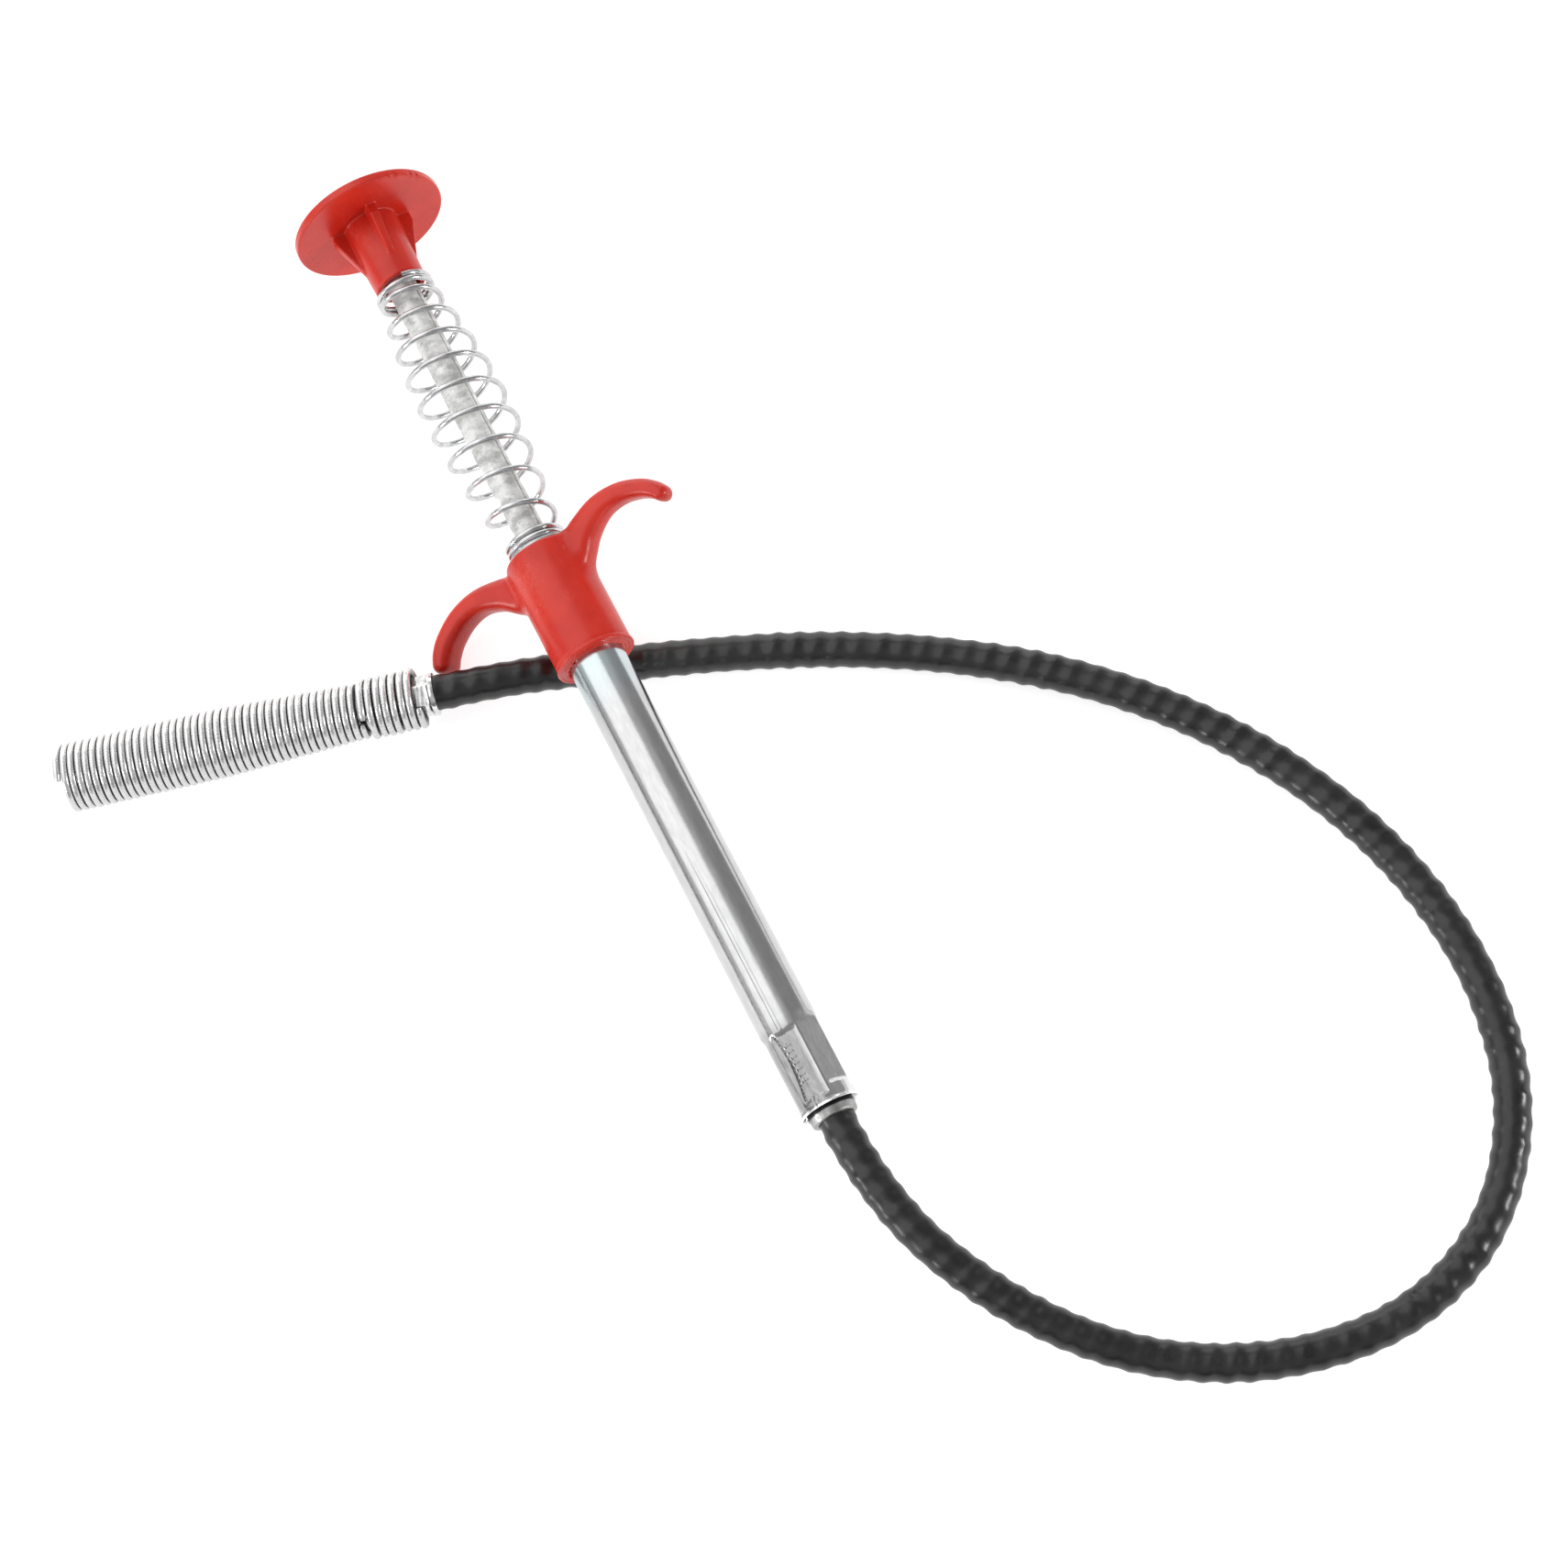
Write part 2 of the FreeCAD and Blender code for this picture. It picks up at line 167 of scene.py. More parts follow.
# -------------------- mesh helpers
def new_object(name, points, faces, sharp=40):
    """A smooth-shaded mesh object; edges that turn more than sharp degrees stay crisp."""
    mesh = bpy.data.meshes.new(name)
    mesh.from_pydata([tuple(p) for p in points], [], faces)
    mesh.validate()
    obj = bpy.data.objects.new(name, mesh)
    bpy.context.scene.collection.objects.link(obj)
    shell = bmesh.new()
    shell.from_mesh(mesh)
    bmesh.ops.recalc_face_normals(shell, faces=shell.faces)
    shell.to_mesh(mesh)
    shell.free()
    mesh.shade_smooth()
    mesh.set_sharp_from_angle(angle=math.radians(sharp))
    return obj


def skin(name, rings, loop=False, sharp=40):
    """A mesh over rings of points. With loop the last ring joins the first, else both ends are capped."""
    rings = np.asarray(rings, float)
    count, around = rings.shape[:2]
    faces = []
    for i in range(count if loop else count - 1):
        here = i * around
        there = (i + 1) % count * around
        for j in range(around):
            k = (j + 1) % around
            faces.append((here + j, here + k, there + k, there + j))
    if not loop:
        faces.append(tuple(range(around)))
        faces.append(tuple(range((count - 1) * around, count * around)))
    return new_object(name, rings.reshape(-1, 3), faces, sharp)


def route_line(points):
    """Points along the smooth curve that a route's points control."""
    data = bpy.data.curves.new("route", "CURVE")
    data.dimensions = "3D"
    data.resolution_u = 64
    spline = data.splines.new("NURBS")
    spline.points.add(len(points) - 1)
    for control, place in zip(spline.points, points):
        control.co = (*place, 1)
    spline.order_u = 3
    spline.use_endpoint_u = True
    curve = bpy.data.objects.new("route", data)
    bpy.context.scene.collection.objects.link(curve)
    mesh = bpy.data.meshes.new_from_object(curve)
    line = np.array([v.co for v in mesh.vertices])
    bpy.data.objects.remove(curve)
    bpy.data.meshes.remove(mesh)
    return line


def even_steps(line, step):
    """The same line at even steps, and its length."""
    runs = np.linalg.norm(np.diff(line, axis=0), axis=1)
    distance = np.concatenate([[0], np.cumsum(runs)])
    wanted = np.linspace(0, distance[-1], int(distance[-1] / step) + 1)
    return np.stack([np.interp(wanted, distance, line[:, i]) for i in range(3)], axis=1), distance[-1]


def side_frames(line, first):
    """Two unit vectors square to the line at each of its points, carried along without twist."""
    tangents = np.gradient(line, axis=0)
    tangents /= np.linalg.norm(tangents, axis=1)[:, None]
    side = np.array(first, float)
    sides = []
    for tangent in tangents:
        side = side - tangent * (side @ tangent)
        side = side / np.linalg.norm(side)
        sides.append(side)
    sides = np.array(sides)
    return sides, np.cross(tangents, sides)


def all_round(count):
    """Evenly spaced angles, once round."""
    return np.linspace(0, TAU, count, endpoint=False)


def angle_from(angles, middle):
    """Angles measured from the middle one, between -pi and pi."""
    return (angles - middle + math.pi) % TAU - math.pi


def sweep(name, line, radius, around=12, first=(0, 0, 1), sharp=40):
    """A rod along a line. radius is a number, or an array of one row per point and one column per angle."""
    sides, ups = side_frames(line, first)
    angles = all_round(around)
    radii = np.broadcast_to(np.asarray(radius, float), (len(line), around))
    round_it = (sides[:, None] * np.cos(angles)[None, :, None]
                + ups[:, None] * np.sin(angles)[None, :, None])
    return skin(name, line[:, None] + round_it * radii[:, :, None], sharp=sharp)


def cut_end_radii(count, radius, around, chamfer=2, end_share=0.72):
    """Radii for a wire whose cut ends are slightly broken, down to end_share of the radius."""
    radii = np.full((count, around), radius)
    for i in range(chamfer):
        share = end_share + (1 - end_share) * (i / chamfer) ** 0.5
        radii[i] *= share
        radii[-1 - i] *= share
    return radii


def barrel_ring(u, radius, angles):
    """A ring round the barrel axis. Angles run from +Y to +Z."""
    radius = np.broadcast_to(np.asarray(radius, float), angles.shape)
    return np.stack([np.full(angles.shape, X_FACE + u * MM), radius * MM * np.cos(angles),
                     AXIS_Z + radius * MM * np.sin(angles)], axis=1)


def head_ring(s, radius, angles):
    """A ring round the head's axis. Angles run from its +X side to +Z."""
    radius = np.broadcast_to(np.asarray(radius, float), angles.shape)
    centre = HEAD_START + HEAD_AXIS * s * MM
    return (centre + HEAD_SIDE * (radius * MM * np.cos(angles))[:, None]
            + UP * (radius * MM * np.sin(angles))[:, None])


def turned(name, ring, outline, around=96, sharp=40):
    """A turned sleeve: outline goes once round its wall as (station, radius) pairs."""
    angles = all_round(around)
    return skin(name, [ring(along, radius, angles) for along, radius in outline], loop=True, sharp=sharp)


def smooth_step(x, low, high):
    """0 up to low, 1 from high on, and a smooth rise between them."""
    t = np.clip((x - low) / (high - low), 0, 1)
    return t * t * (3 - 2 * t)


def ripple(x, seed):
    """A smooth wobble between about -1 and 1, the same on every run."""
    return (np.sin(1.7 * x + seed) + 0.6 * np.sin(3.1 * x + 2.3 * seed)
            + 0.4 * np.sin(7.3 * x + 0.7 * seed)) / 1.6


# -------------------- solid shapes by distance, millimetres
def smooth_join(a, b, fillet):
    """Union of two distance fields with a fillet."""
    h = np.clip(0.5 + 0.5 * (b - a) / fillet, 0, 1)
    return b + (a - b) * h - fillet * h * (1 - h)


def smooth_cut(a, b, fillet):
    """What is in a and not in b."""
    return -smooth_join(-a, b, fillet)


def round_box(first, second, rounding):
    """Corner of two half spaces, rounded."""
    p = first + rounding
    q = second + rounding
    return np.minimum(np.maximum(p, q), 0) + np.hypot(np.maximum(p, 0), np.maximum(q, 0)) - rounding


def disc(u, rho, start, end, radius, rounding):
    """A rod on the barrel axis, with rounded edges."""
    return round_box(np.abs(u - (start + end) / 2) - (end - start) / 2, rho - radius, rounding)


def moulded(name, low, high, cell, distance):
    """A closed mesh round where distance(u, y, z) is below zero.

    u is the distance from the thumb plate's face, y and z are from the barrel axis, all in millimetres.
    """
    counts = [int((b - a) / cell) + 2 for a, b in zip(low, high)]
    axes = [np.float32(a) + np.arange(n, dtype=np.float32) * np.float32(cell) for a, n in zip(low, counts)]
    u, y, z = np.meshgrid(*axes, indexing="ij", sparse=True)
    grid = openvdb.FloatGrid(1.0)
    grid.copyFromArray(np.ascontiguousarray(distance(u, y, z), dtype=np.float32))
    points, quads = grid.convertToQuads(isovalue=0.0)
    points = points * cell + np.array(low)
    points = points * MM + np.array([X_FACE, 0, AXIS_Z])
    return new_object(name, points, [tuple(int(i) for i in q) for q in quads], sharp=50)


# -------------------- materials
class Surface:
    """A principled material with texture helpers, which use the object's own coordinates in metres."""

    def __init__(self, name, colour, metallic=0.0, roughness=0.4, **sockets):
        self.material = bpy.data.materials.new(name)
        self.material.use_nodes = True
        self.nodes = self.material.node_tree.nodes
        self.links = self.material.node_tree.links
        self.shader = self.nodes["Principled BSDF"]
        self.shader.inputs["Base Color"].default_value = (*colour, 1)
        self.shader.inputs["Metallic"].default_value = metallic
        self.shader.inputs["Roughness"].default_value = roughness
        for socket, value in sockets.items():
            self.shader.inputs[socket.replace("_", " ")].default_value = value
        self.place = self.nodes.new("ShaderNodeTexCoord").outputs["Object"]
        self.bump_so_far = None

    def node(self, kind, **inputs):
        """A node with its inputs linked or set, by their names with _ for a space."""
        made = self.nodes.new(kind)
        for key, value in inputs.items():
            socket = made.inputs[key.replace("_", " ")]
            if isinstance(value, bpy.types.NodeSocket):
                self.links.new(value, socket)
            else:
                socket.default_value = value
        return made

    def noise(self, size, stretch=(1, 1, 1), detail=3.0, rough=0.55):
        """Noise whose blotches are about size metres, longer along an axis by its stretch."""
        scale = self.node("ShaderNodeMapping", Vector=self.place,
                          Scale=tuple(1 / (size * s) for s in stretch)).outputs["Vector"]
        return self.node("ShaderNodeTexNoise", Vector=scale, Scale=1.0, Detail=detail,
                         Roughness=rough).outputs["Fac"]

    def ramp(self, value, low, high, dark=0.0, light=1.0):
        """Maps value from low..high to dark..light."""
        made = self.node("ShaderNodeMapRange", Value=value, From_Min=low, From_Max=high,
                         To_Min=dark, To_Max=light)
        made.clamp = True
        return made.outputs["Result"]

    def mix(self, share, first, second):
        """The first colour where share is 0, the second where it is 1."""
        made = self.nodes.new("ShaderNodeMix")
        made.data_type = "RGBA"
        self.links.new(share, made.inputs[0])
        for socket, value in ((made.inputs[6], first), (made.inputs[7], second)):
            if isinstance(value, bpy.types.NodeSocket):
                self.links.new(value, socket)
            else:
                socket.default_value = (*value, 1)
        return made.outputs[2]

    def colour(self, value):
        """Links the base colour."""
        self.links.new(value, self.shader.inputs["Base Color"])

    def roughness(self, value):
        """Links the roughness."""
        self.links.new(value, self.shader.inputs["Roughness"])

    def bump(self, height, depth, strength=0.5):
        """Adds a bump of this depth on top of the ones so far."""
        made = self.node("ShaderNodeBump", Height=height, Strength=strength, Distance=depth)
        if self.bump_so_far is not None:
            self.links.new(self.bump_so_far, made.inputs["Normal"])
        self.bump_so_far = made.outputs["Normal"]
        self.links.new(self.bump_so_far, self.shader.inputs["Normal"])

    def axis(self, index):
        """A place's x, y or z."""
        return self.node("ShaderNodeSeparateXYZ", Vector=self.place).outputs[index]

    def maths(self, operation, first, second):
        """Two linked values worked into one."""
        made = self.node("ShaderNodeMath")
        made.operation = operation
        self.links.new(first, made.inputs[0])
        self.links.new(second, made.inputs[1])
        return made.outputs[0]

    def vector(self, operation, first, second=(0, 0, 0)):
        """The outputs of vector maths on a linked vector and a fixed one."""
        made = self.nodes.new("ShaderNodeVectorMath")
        made.operation = operation
        self.links.new(first, made.inputs[0])
        made.inputs[1].default_value = tuple(second)
        return made.outputs

    def from_axis(self, point, direction):
        """How far along the axis a place is, and how far out from it."""
        away = self.vector("SUBTRACT", self.place, point)["Vector"]
        along = self.vector("DOT_PRODUCT", away, direction)["Value"]
        out = self.vector("CROSS_PRODUCT", away, direction)["Vector"]
        return along, self.vector("LENGTH", out)["Value"]


def red_plastic():
    """Glossy moulded plastic: faint flow clouds, a fine orange peel, and scuffs that whiten it."""
    made = Surface("red_plastic", (0.60, 0.022, 0.018), roughness=0.29, Specular_IOR_Level=0.42)
    clouds = made.ramp(made.noise(6 * MM, detail=2), 0.35, 0.65)
    base = made.mix(clouds, (0.56, 0.018, 0.008), (0.64, 0.030, 0.014))
    scuffs = made.ramp(made.noise(0.45 * MM, stretch=(1.8, 1, 1), detail=6, rough=0.75), 0.57, 0.70)
    patches = made.ramp(made.noise(4.5 * MM, detail=3), 0.53, 0.66)
    scuffed = made.maths("MULTIPLY", scuffs, patches)
    # rubbed most at the lower hook's root
    rubbed_at = (X_FACE + 71.0 * MM, -5.0 * MM, AXIS_Z + 3.4 * MM)
    away = made.vector("LENGTH", made.vector("SUBTRACT", made.place, rubbed_at)["Vector"])["Value"]
    fine = made.ramp(made.noise(0.30 * MM, detail=6, rough=0.8), 0.50, 0.62)
    rubbed = made.maths("MULTIPLY", fine, made.ramp(away, 1.5 * MM, 5.5 * MM, 1.0, 0.0))
    worn = made.ramp(made.maths("MAXIMUM", scuffed, rubbed), 0, 1, 0, 0.50)
    made.colour(made.mix(worn, base, (0.80, 0.24, 0.22)))
    made.roughness(made.ramp(made.noise(1.2 * MM, detail=4), 0.3, 0.75, 0.25, 0.38))
    made.bump(made.noise(0.9 * MM, detail=2), 0.015 * MM, 0.3)
    made.bump(made.noise(0.16 * MM, detail=3), 0.003 * MM, 0.3)
    return made.material


def bright_zinc():
    """Zinc plate on a drawn tube: draw lines, a fine grain, blue by the grip, and jaw marks in the crimp,
    with painted shade on the crimp's -Y side and painted light on its +Y side.
    """
    made = Surface("bright_zinc", (0.78, 0.79, 0.80), metallic=1.0, roughness=0.24)
    past_blue = made.ramp(made.axis(0), X_FACE + 84 * MM, X_FACE + 96 * MM)
    grey = made.mix(made.ramp(made.noise(0.7 * MM, stretch=(4, 1, 1), detail=5), 0.35, 0.7),
                    (0.61, 0.61, 0.615), (0.53, 0.53, 0.535))
    plain = made.mix(past_blue, (0.58, 0.69, 0.71), grey)
    jaw_marks = made.ramp(made.noise(0.9 * MM, stretch=(3, 1, 1), detail=6, rough=0.7), 0.35, 0.68)
    # painted shade on the crimp's -Y side and painted light on its +Y side, over the jaw marks
    painted_lit_side = made.ramp(made.axis(1), 0.2 * MM, 1.4 * MM)
    jaw_marks_and_painted_shade = made.mix(painted_lit_side, made.mix(jaw_marks, (0.17, 0.17, 0.17), (0.34, 0.34, 0.345)),
                       made.mix(jaw_marks, (0.66, 0.66, 0.66), (0.86, 0.86, 0.865)))
    crimp = X_FACE + CRIMP_START * MM
    pressed = made.ramp(made.axis(0), crimp - 2.0 * MM, crimp + 1.0 * MM, 0.0, 0.85)
    end = X_FACE + BARREL_END * MM
    rim = made.ramp(made.axis(0), end - 0.45 * MM, end - 0.25 * MM)
    made.colour(made.mix(rim, made.mix(pressed, plain, jaw_marks_and_painted_shade), (0.95, 0.95, 0.95)))
    grain = made.noise(0.22 * MM, stretch=(3, 1, 1), detail=5, rough=0.65)
    made.roughness(made.ramp(grain, 0.25, 0.8, 0.14, 0.27))
    made.bump(made.noise(0.35 * MM, stretch=(60, 1, 1), detail=3), 0.010 * MM, 0.25)
    made.bump(grain, 0.003 * MM, 0.2)
    return made.material


def galvanised_steel():
    """Dull, mottled zinc with darker pits, as on a hot-dipped tube."""
    made = Surface("galvanised_steel", (0.62, 0.62, 0.61), metallic=0.55, roughness=0.55)
    mottle = made.ramp(made.noise(2.2 * MM, stretch=(1, 1.6, 1.6), detail=5, rough=0.7), 0.40, 0.58)
    base = made.mix(mottle, (0.52, 0.52, 0.51), (0.88, 0.88, 0.87))
    pits = made.ramp(made.noise(0.6 * MM, detail=5, rough=0.7), 0.62, 0.76)
    pitted = made.mix(pits, base, (0.20, 0.195, 0.18))
    # dark where the seam dips below the tube's outside
    _, radius = made.from_axis((0, 0, AXIS_Z), (1, 0, 0))
    outside = made.ramp(radius, (TUBE_R - 0.16) * MM, (TUBE_R - 0.06) * MM)
    made.colour(made.mix(outside, (0.26, 0.26, 0.25), pitted))
    made.roughness(made.ramp(made.noise(0.5 * MM, detail=5), 0.3, 0.7, 0.42, 0.62))
    made.bump(made.noise(0.4 * MM, detail=5, rough=0.65), 0.03 * MM, 0.5)
    made.bump(made.noise(1.8 * MM, stretch=(4, 1, 1), detail=2), 0.05 * MM, 0.3)
    return made.material


def wire(name, light, dark, roughness, grain=0.25):
    """Plated spring wire: uneven plating, fine draw marks and small dull spots."""
    made = Surface(name, light, metallic=1.0, roughness=sum(roughness) / 2)
    made.colour(made.mix(made.ramp(made.noise(1.6 * MM, detail=5, rough=0.65), 0.35, 0.72), light, dark))
    made.roughness(made.ramp(made.noise(grain * MM, detail=5), 0.3, 0.7, *roughness))
    made.bump(made.noise(0.18 * MM, detail=4), 0.006 * MM, 0.4)
    return made.material


def head_wire(name, from_s, from_radius, to_s, to_radius):
    """Bright plated wire with painted shade deep between the turns, and painted shade that darkens the coil
    towards the head's HEAD_SIDE side.

    The coil's outside radius is given at two stations, in millimetres.
    """
    made = Surface(name, (0.94, 0.94, 0.94), metallic=0.65, roughness=0.24)
    along, radius = made.from_axis(HEAD_START, HEAD_AXIS)
    outside = made.ramp(along, from_s * MM, to_s * MM, from_radius * MM, to_radius * MM)
    depth = made.maths("SUBTRACT", outside, radius)
    away = made.vector("SUBTRACT", made.place, HEAD_START)["Vector"]
    side = made.vector("DOT_PRODUCT", away, HEAD_SIDE)["Value"]
    dull = made.ramp(made.noise(1.6 * MM, detail=5, rough=0.65), 0.35, 0.72)
    # painted shade: the plating is lighter on one side of the head and darker towards HEAD_SIDE
    unshaded_metal = made.mix(dull, (0.90, 0.90, 0.90), (0.76, 0.76, 0.755))
    side_in_painted_shade = made.mix(dull, (0.68, 0.68, 0.68), (0.56, 0.56, 0.555))
    plating_with_painted_side_shade = made.mix(made.ramp(side, -1.0 * MM, 3.0 * MM), unshaded_metal, side_in_painted_shade)
    # painted shade in the gaps between the turns, darkest towards HEAD_SIDE
    painted_crevice_shade = made.mix(made.ramp(side, -1.8 * MM, 0.6 * MM), (0.22, 0.22, 0.22), (0.04, 0.04, 0.04))
    made.colour(made.mix(made.ramp(depth, 0.24 * MM, 0.46 * MM), plating_with_painted_side_shade, painted_crevice_shade))
    made.roughness(made.ramp(made.noise(0.25 * MM, detail=5), 0.3, 0.7, 0.16, 0.34))
    made.bump(made.noise(0.18 * MM, detail=4), 0.006 * MM, 0.4)
    return made.material


def ferrule_steel():
    """Bright plated sheet, pressed flat: a few soft marks."""
    made = Surface("ferrule_steel", (0.80, 0.80, 0.80), metallic=1.0, roughness=0.2)
    made.colour(made.mix(made.ramp(made.noise(0.9 * MM, detail=4), 0.40, 0.75),
                         (0.80, 0.80, 0.80), (0.50, 0.50, 0.495)))
    made.roughness(made.ramp(made.noise(0.4 * MM, detail=4), 0.3, 0.7, 0.14, 0.28))
    made.bump(made.noise(0.6 * MM, detail=3), 0.012 * MM, 0.4)
    return made.material


def collar_steel():
    """The collar's steel, with a band of near-black painted shade where it comes out of the barrel."""
    made = Surface("collar_steel", (0.45, 0.45, 0.45), metallic=1.0, roughness=0.34)
    unshaded_metal = made.mix(made.ramp(made.noise(0.8 * MM, detail=5, rough=0.7), 0.35, 0.7),
                     (0.46, 0.46, 0.455), (0.24, 0.24, 0.235))
    end = X_FACE + BARREL_END * MM
    # painted shade: near black in the gap just past the barrel's end
    past_painted_shade = made.ramp(made.axis(0), end + 0.30 * MM, end + 0.55 * MM)
    made.colour(made.mix(past_painted_shade, (0.02, 0.02, 0.02), unshaded_metal))
    made.roughness(made.ramp(made.noise(0.4 * MM, detail=4), 0.3, 0.7, 0.30, 0.5))
    made.bump(made.noise(0.5 * MM, detail=4), 0.03 * MM, 0.5)
    return made.material


def turned_steel():
    """Lathe-turned steel: rings round the barrel axis."""
    made = Surface("turned_steel", (0.55, 0.55, 0.56), metallic=1.0, roughness=0.3)
    marks = made.noise(0.12 * MM, stretch=(1, 40, 40), detail=2)
    made.colour(made.mix(made.ramp(marks, 0.3, 0.7), (0.60, 0.60, 0.61), (0.46, 0.46, 0.47)))
    made.roughness(made.ramp(made.noise(0.8 * MM, detail=3), 0.3, 0.7, 0.22, 0.4))
    made.bump(marks, 0.01 * MM, 0.4)
    return made.material


def black_vinyl():
    """Black vinyl drawn over a coil: glossy, faintly cloudy, with a fine pebble and a little dust."""
    made = Surface("black_vinyl", (0.012, 0.012, 0.012), roughness=0.3)
    dust = made.ramp(made.noise(0.5 * MM, detail=6, rough=0.75), 0.62, 0.78)
    base = made.mix(made.ramp(made.noise(7 * MM, detail=3), 0.35, 0.65), (0.008, 0.008, 0.008),
                    (0.017, 0.017, 0.0165))
    made.colour(made.mix(made.ramp(dust, 0, 1, 0, 0.25), base, (0.07, 0.07, 0.068)))
    made.roughness(made.ramp(made.noise(3 * MM, detail=5), 0.3, 0.7, 0.24, 0.42))
    made.bump(made.noise(0.9 * MM, detail=3), 0.05 * MM, 0.45)
    made.bump(made.noise(0.2 * MM, detail=3), 0.01 * MM, 0.4)
    return made.material


def steel_cable():
    """Stranded cable: dark lines between the wires."""
    made = Surface("steel_cable", (0.42, 0.42, 0.41), metallic=1.0, roughness=0.4)
    strands = made.noise(0.22 * MM, stretch=(3, 3, 1), detail=3)
    made.colour(made.mix(made.ramp(strands, 0.35, 0.65), (0.20, 0.20, 0.19), (0.52, 0.52, 0.51)))
    made.bump(strands, 0.03 * MM, 0.6)
    return made.material


MATERIALS = {
    "red_plastic": red_plastic(),
    "bright_zinc": bright_zinc(),
    "galvanised_steel": galvanised_steel(),
    "zinc_spring_wire": wire("zinc_spring_wire", (0.68, 0.69, 0.70), (0.46, 0.46, 0.46), (0.14, 0.30)),
    "head_spring_wire": head_wire("head_spring_wire", COIL_FROM, COIL_FROM_R, COIL_FULL_AT, COIL_FULL_R),
    "head_root_wire": head_wire("head_root_wire", 0.0, ROOT_R, COIL_FROM, ROOT_R),
    "claw_wire": wire("claw_wire", (0.72, 0.72, 0.71), (0.50, 0.50, 0.49), (0.18, 0.34)),
    "crimped_steel": ferrule_steel(),
    "collar_steel": collar_steel(),
    "turned_steel": turned_steel(),
    "steel_cable": steel_cable(),
    "black_vinyl": black_vinyl(),
}


def dress(obj, slot, body, *nodes, material=None):
    """Gives a finished piece its material and its body, and hides the CAD nodes that it stands for."""
    obj.data.materials.clear()
    obj.data.materials.append(MATERIALS[material or slot])
    if nodes:
        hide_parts(*nodes)
    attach(obj, body)
    return obj


# -------------------- hose, and what follows its line
ROOT = "barrel_and_hose"
RIB_PITCH = 3.3
RIB_HEIGHT = 0.25
SKIN_STEP = 0.3  # from one section of the skin to the next
SKIN_SINK = 0.16  # how far the skin lies below the hose's outside between the ribs
NICK_AT = 97.8  # millimetres along the hose
NICK_FACING = np.array([-0.45, 0.0, 0.89])
NICK_LENGTH = 0.9
NICK_WIDTH = 0.7
NICK_DEPTH = 0.30  # of the groove round the lifted flap
NICK_LIFT = 0.16
hose_line = route_line(HOSE_ROUTE)


def hose_skin():
    """Vinyl drawn over the liner coil, so that the coil shows through as soft spiral ribs, and one nick."""
    line, _ = even_steps(hose_line, SKIN_STEP * MM)
    around = 36
    angles = all_round(around)
    radius = HOSE_D / 2 / MM
    s = np.arange(len(line))[:, None] * SKIN_STEP
    phase = TAU * s / RIB_PITCH + angles
    strength = 0.75 + 0.25 * ripple(s / 9, 1.0)
    ribs = RIB_HEIGHT * strength * (0.5 + 0.5 * np.cos(phase + 0.25 * ripple(s / 5, 3.0))) ** 1.3
    radii = radius - SKIN_SINK + ribs + 0.02 * ripple(s / 1.1, 5.0) * np.cos(2 * angles)
    sides, ups = side_frames(line, UP)
    facing = NICK_FACING / np.linalg.norm(NICK_FACING)
    here = int(NICK_AT / SKIN_STEP)
    nick_angle = math.atan2(ups[here] @ facing, sides[here] @ facing)
    along = (s - NICK_AT) / NICK_LENGTH
    across = angle_from(angles, nick_angle) * radius / NICK_WIDTH
    ring = np.hypot(along, across)
    open_side = smooth_step(-along - across, -1.4, 0.4)
    radii = radii - NICK_DEPTH * np.exp(-((ring - 1.0) / 0.28) ** 2) * open_side
    radii = radii + NICK_LIFT * np.exp(-(ring / 0.62) ** 2)
    return sweep("hose_jacket_ribbed", line, radii * MM, around)


hose = dress(hose_skin(), "black_vinyl", ROOT, "hose_jacket")

LINER_START = 152.0
LINER_R = 1.65
LINER_WIRE_R = 0.32
CABLE_START = 157.5
CABLE_R = 0.75
CABLE_STEP = 0.5  # from one section of the cable to the next
STRANDS = 6
STRAND_GROOVE = 0.13
LAY_LENGTH = 9  # one turn of the strands


def inner_line(node_start, step):
    """The hose's line, led back inside the barrel to where the inner piece starts."""
    lead = np.array([[X_FACE + node_start * MM, 0, AXIS_Z]])
    return even_steps(np.vstack([lead, hose_line]), step)


def liner_coil():
    """The spring liner: a wire coil with the pitch of the ribs."""
    line, length = inner_line(LINER_START, 0.2 * MM)
    turns = length / MM / RIB_PITCH
    per_turn = 14
    count = int(turns * per_turn)
    wanted = np.linspace(0, 1, count) * (len(line) - 1)
    index = np.arange(len(line))
    centre = np.stack([np.interp(wanted, index, line[:, i]) for i in range(3)], axis=1)
    sides, ups = side_frames(centre, UP)
    angle = -np.arange(count)[:, None] * TAU / per_turn
    coil = centre + (sides * np.cos(angle) + ups * np.sin(angle)) * LINER_R * MM
    return sweep("hose_liner_coil", coil, LINER_WIRE_R * MM, 6, first=(1, 0, 0))


dress(liner_coil(), "zinc_spring_wire", ROOT, "hose_liner")


def cable_strands():
    """Six strands laid round a core, as one twisted section."""
    line, _ = inner_line(CABLE_START, CABLE_STEP * MM)
    around = 36
    twist = np.arange(len(line))[:, None] * CABLE_STEP / LAY_LENGTH * TAU
    radii = CABLE_R - STRAND_GROOVE * np.abs(np.sin(STRANDS / 2 * (all_round(around) + twist)))
    return sweep("drive_cable_strands", line, radii * MM, around, sharp=60)


dress(cable_strands(), "steel_cable", ROOT, "drive_cable")


# -------------------- head
def helix(ring_point, turns, per_turn):
    """Points ring_point(turn) along a coil."""
    count = int(turns * per_turn) + 1
    return np.array([ring_point(t) for t in np.linspace(0, turns, count)])


def head_point(s, radius, angle):
    """A point by its station, its distance from the head's axis, and its angle from the +X side to +Z."""
    return (HEAD_START + HEAD_AXIS * s * MM + HEAD_SIDE * (radius * math.cos(angle) * MM)
            + UP * (radius * math.sin(angle) * MM))


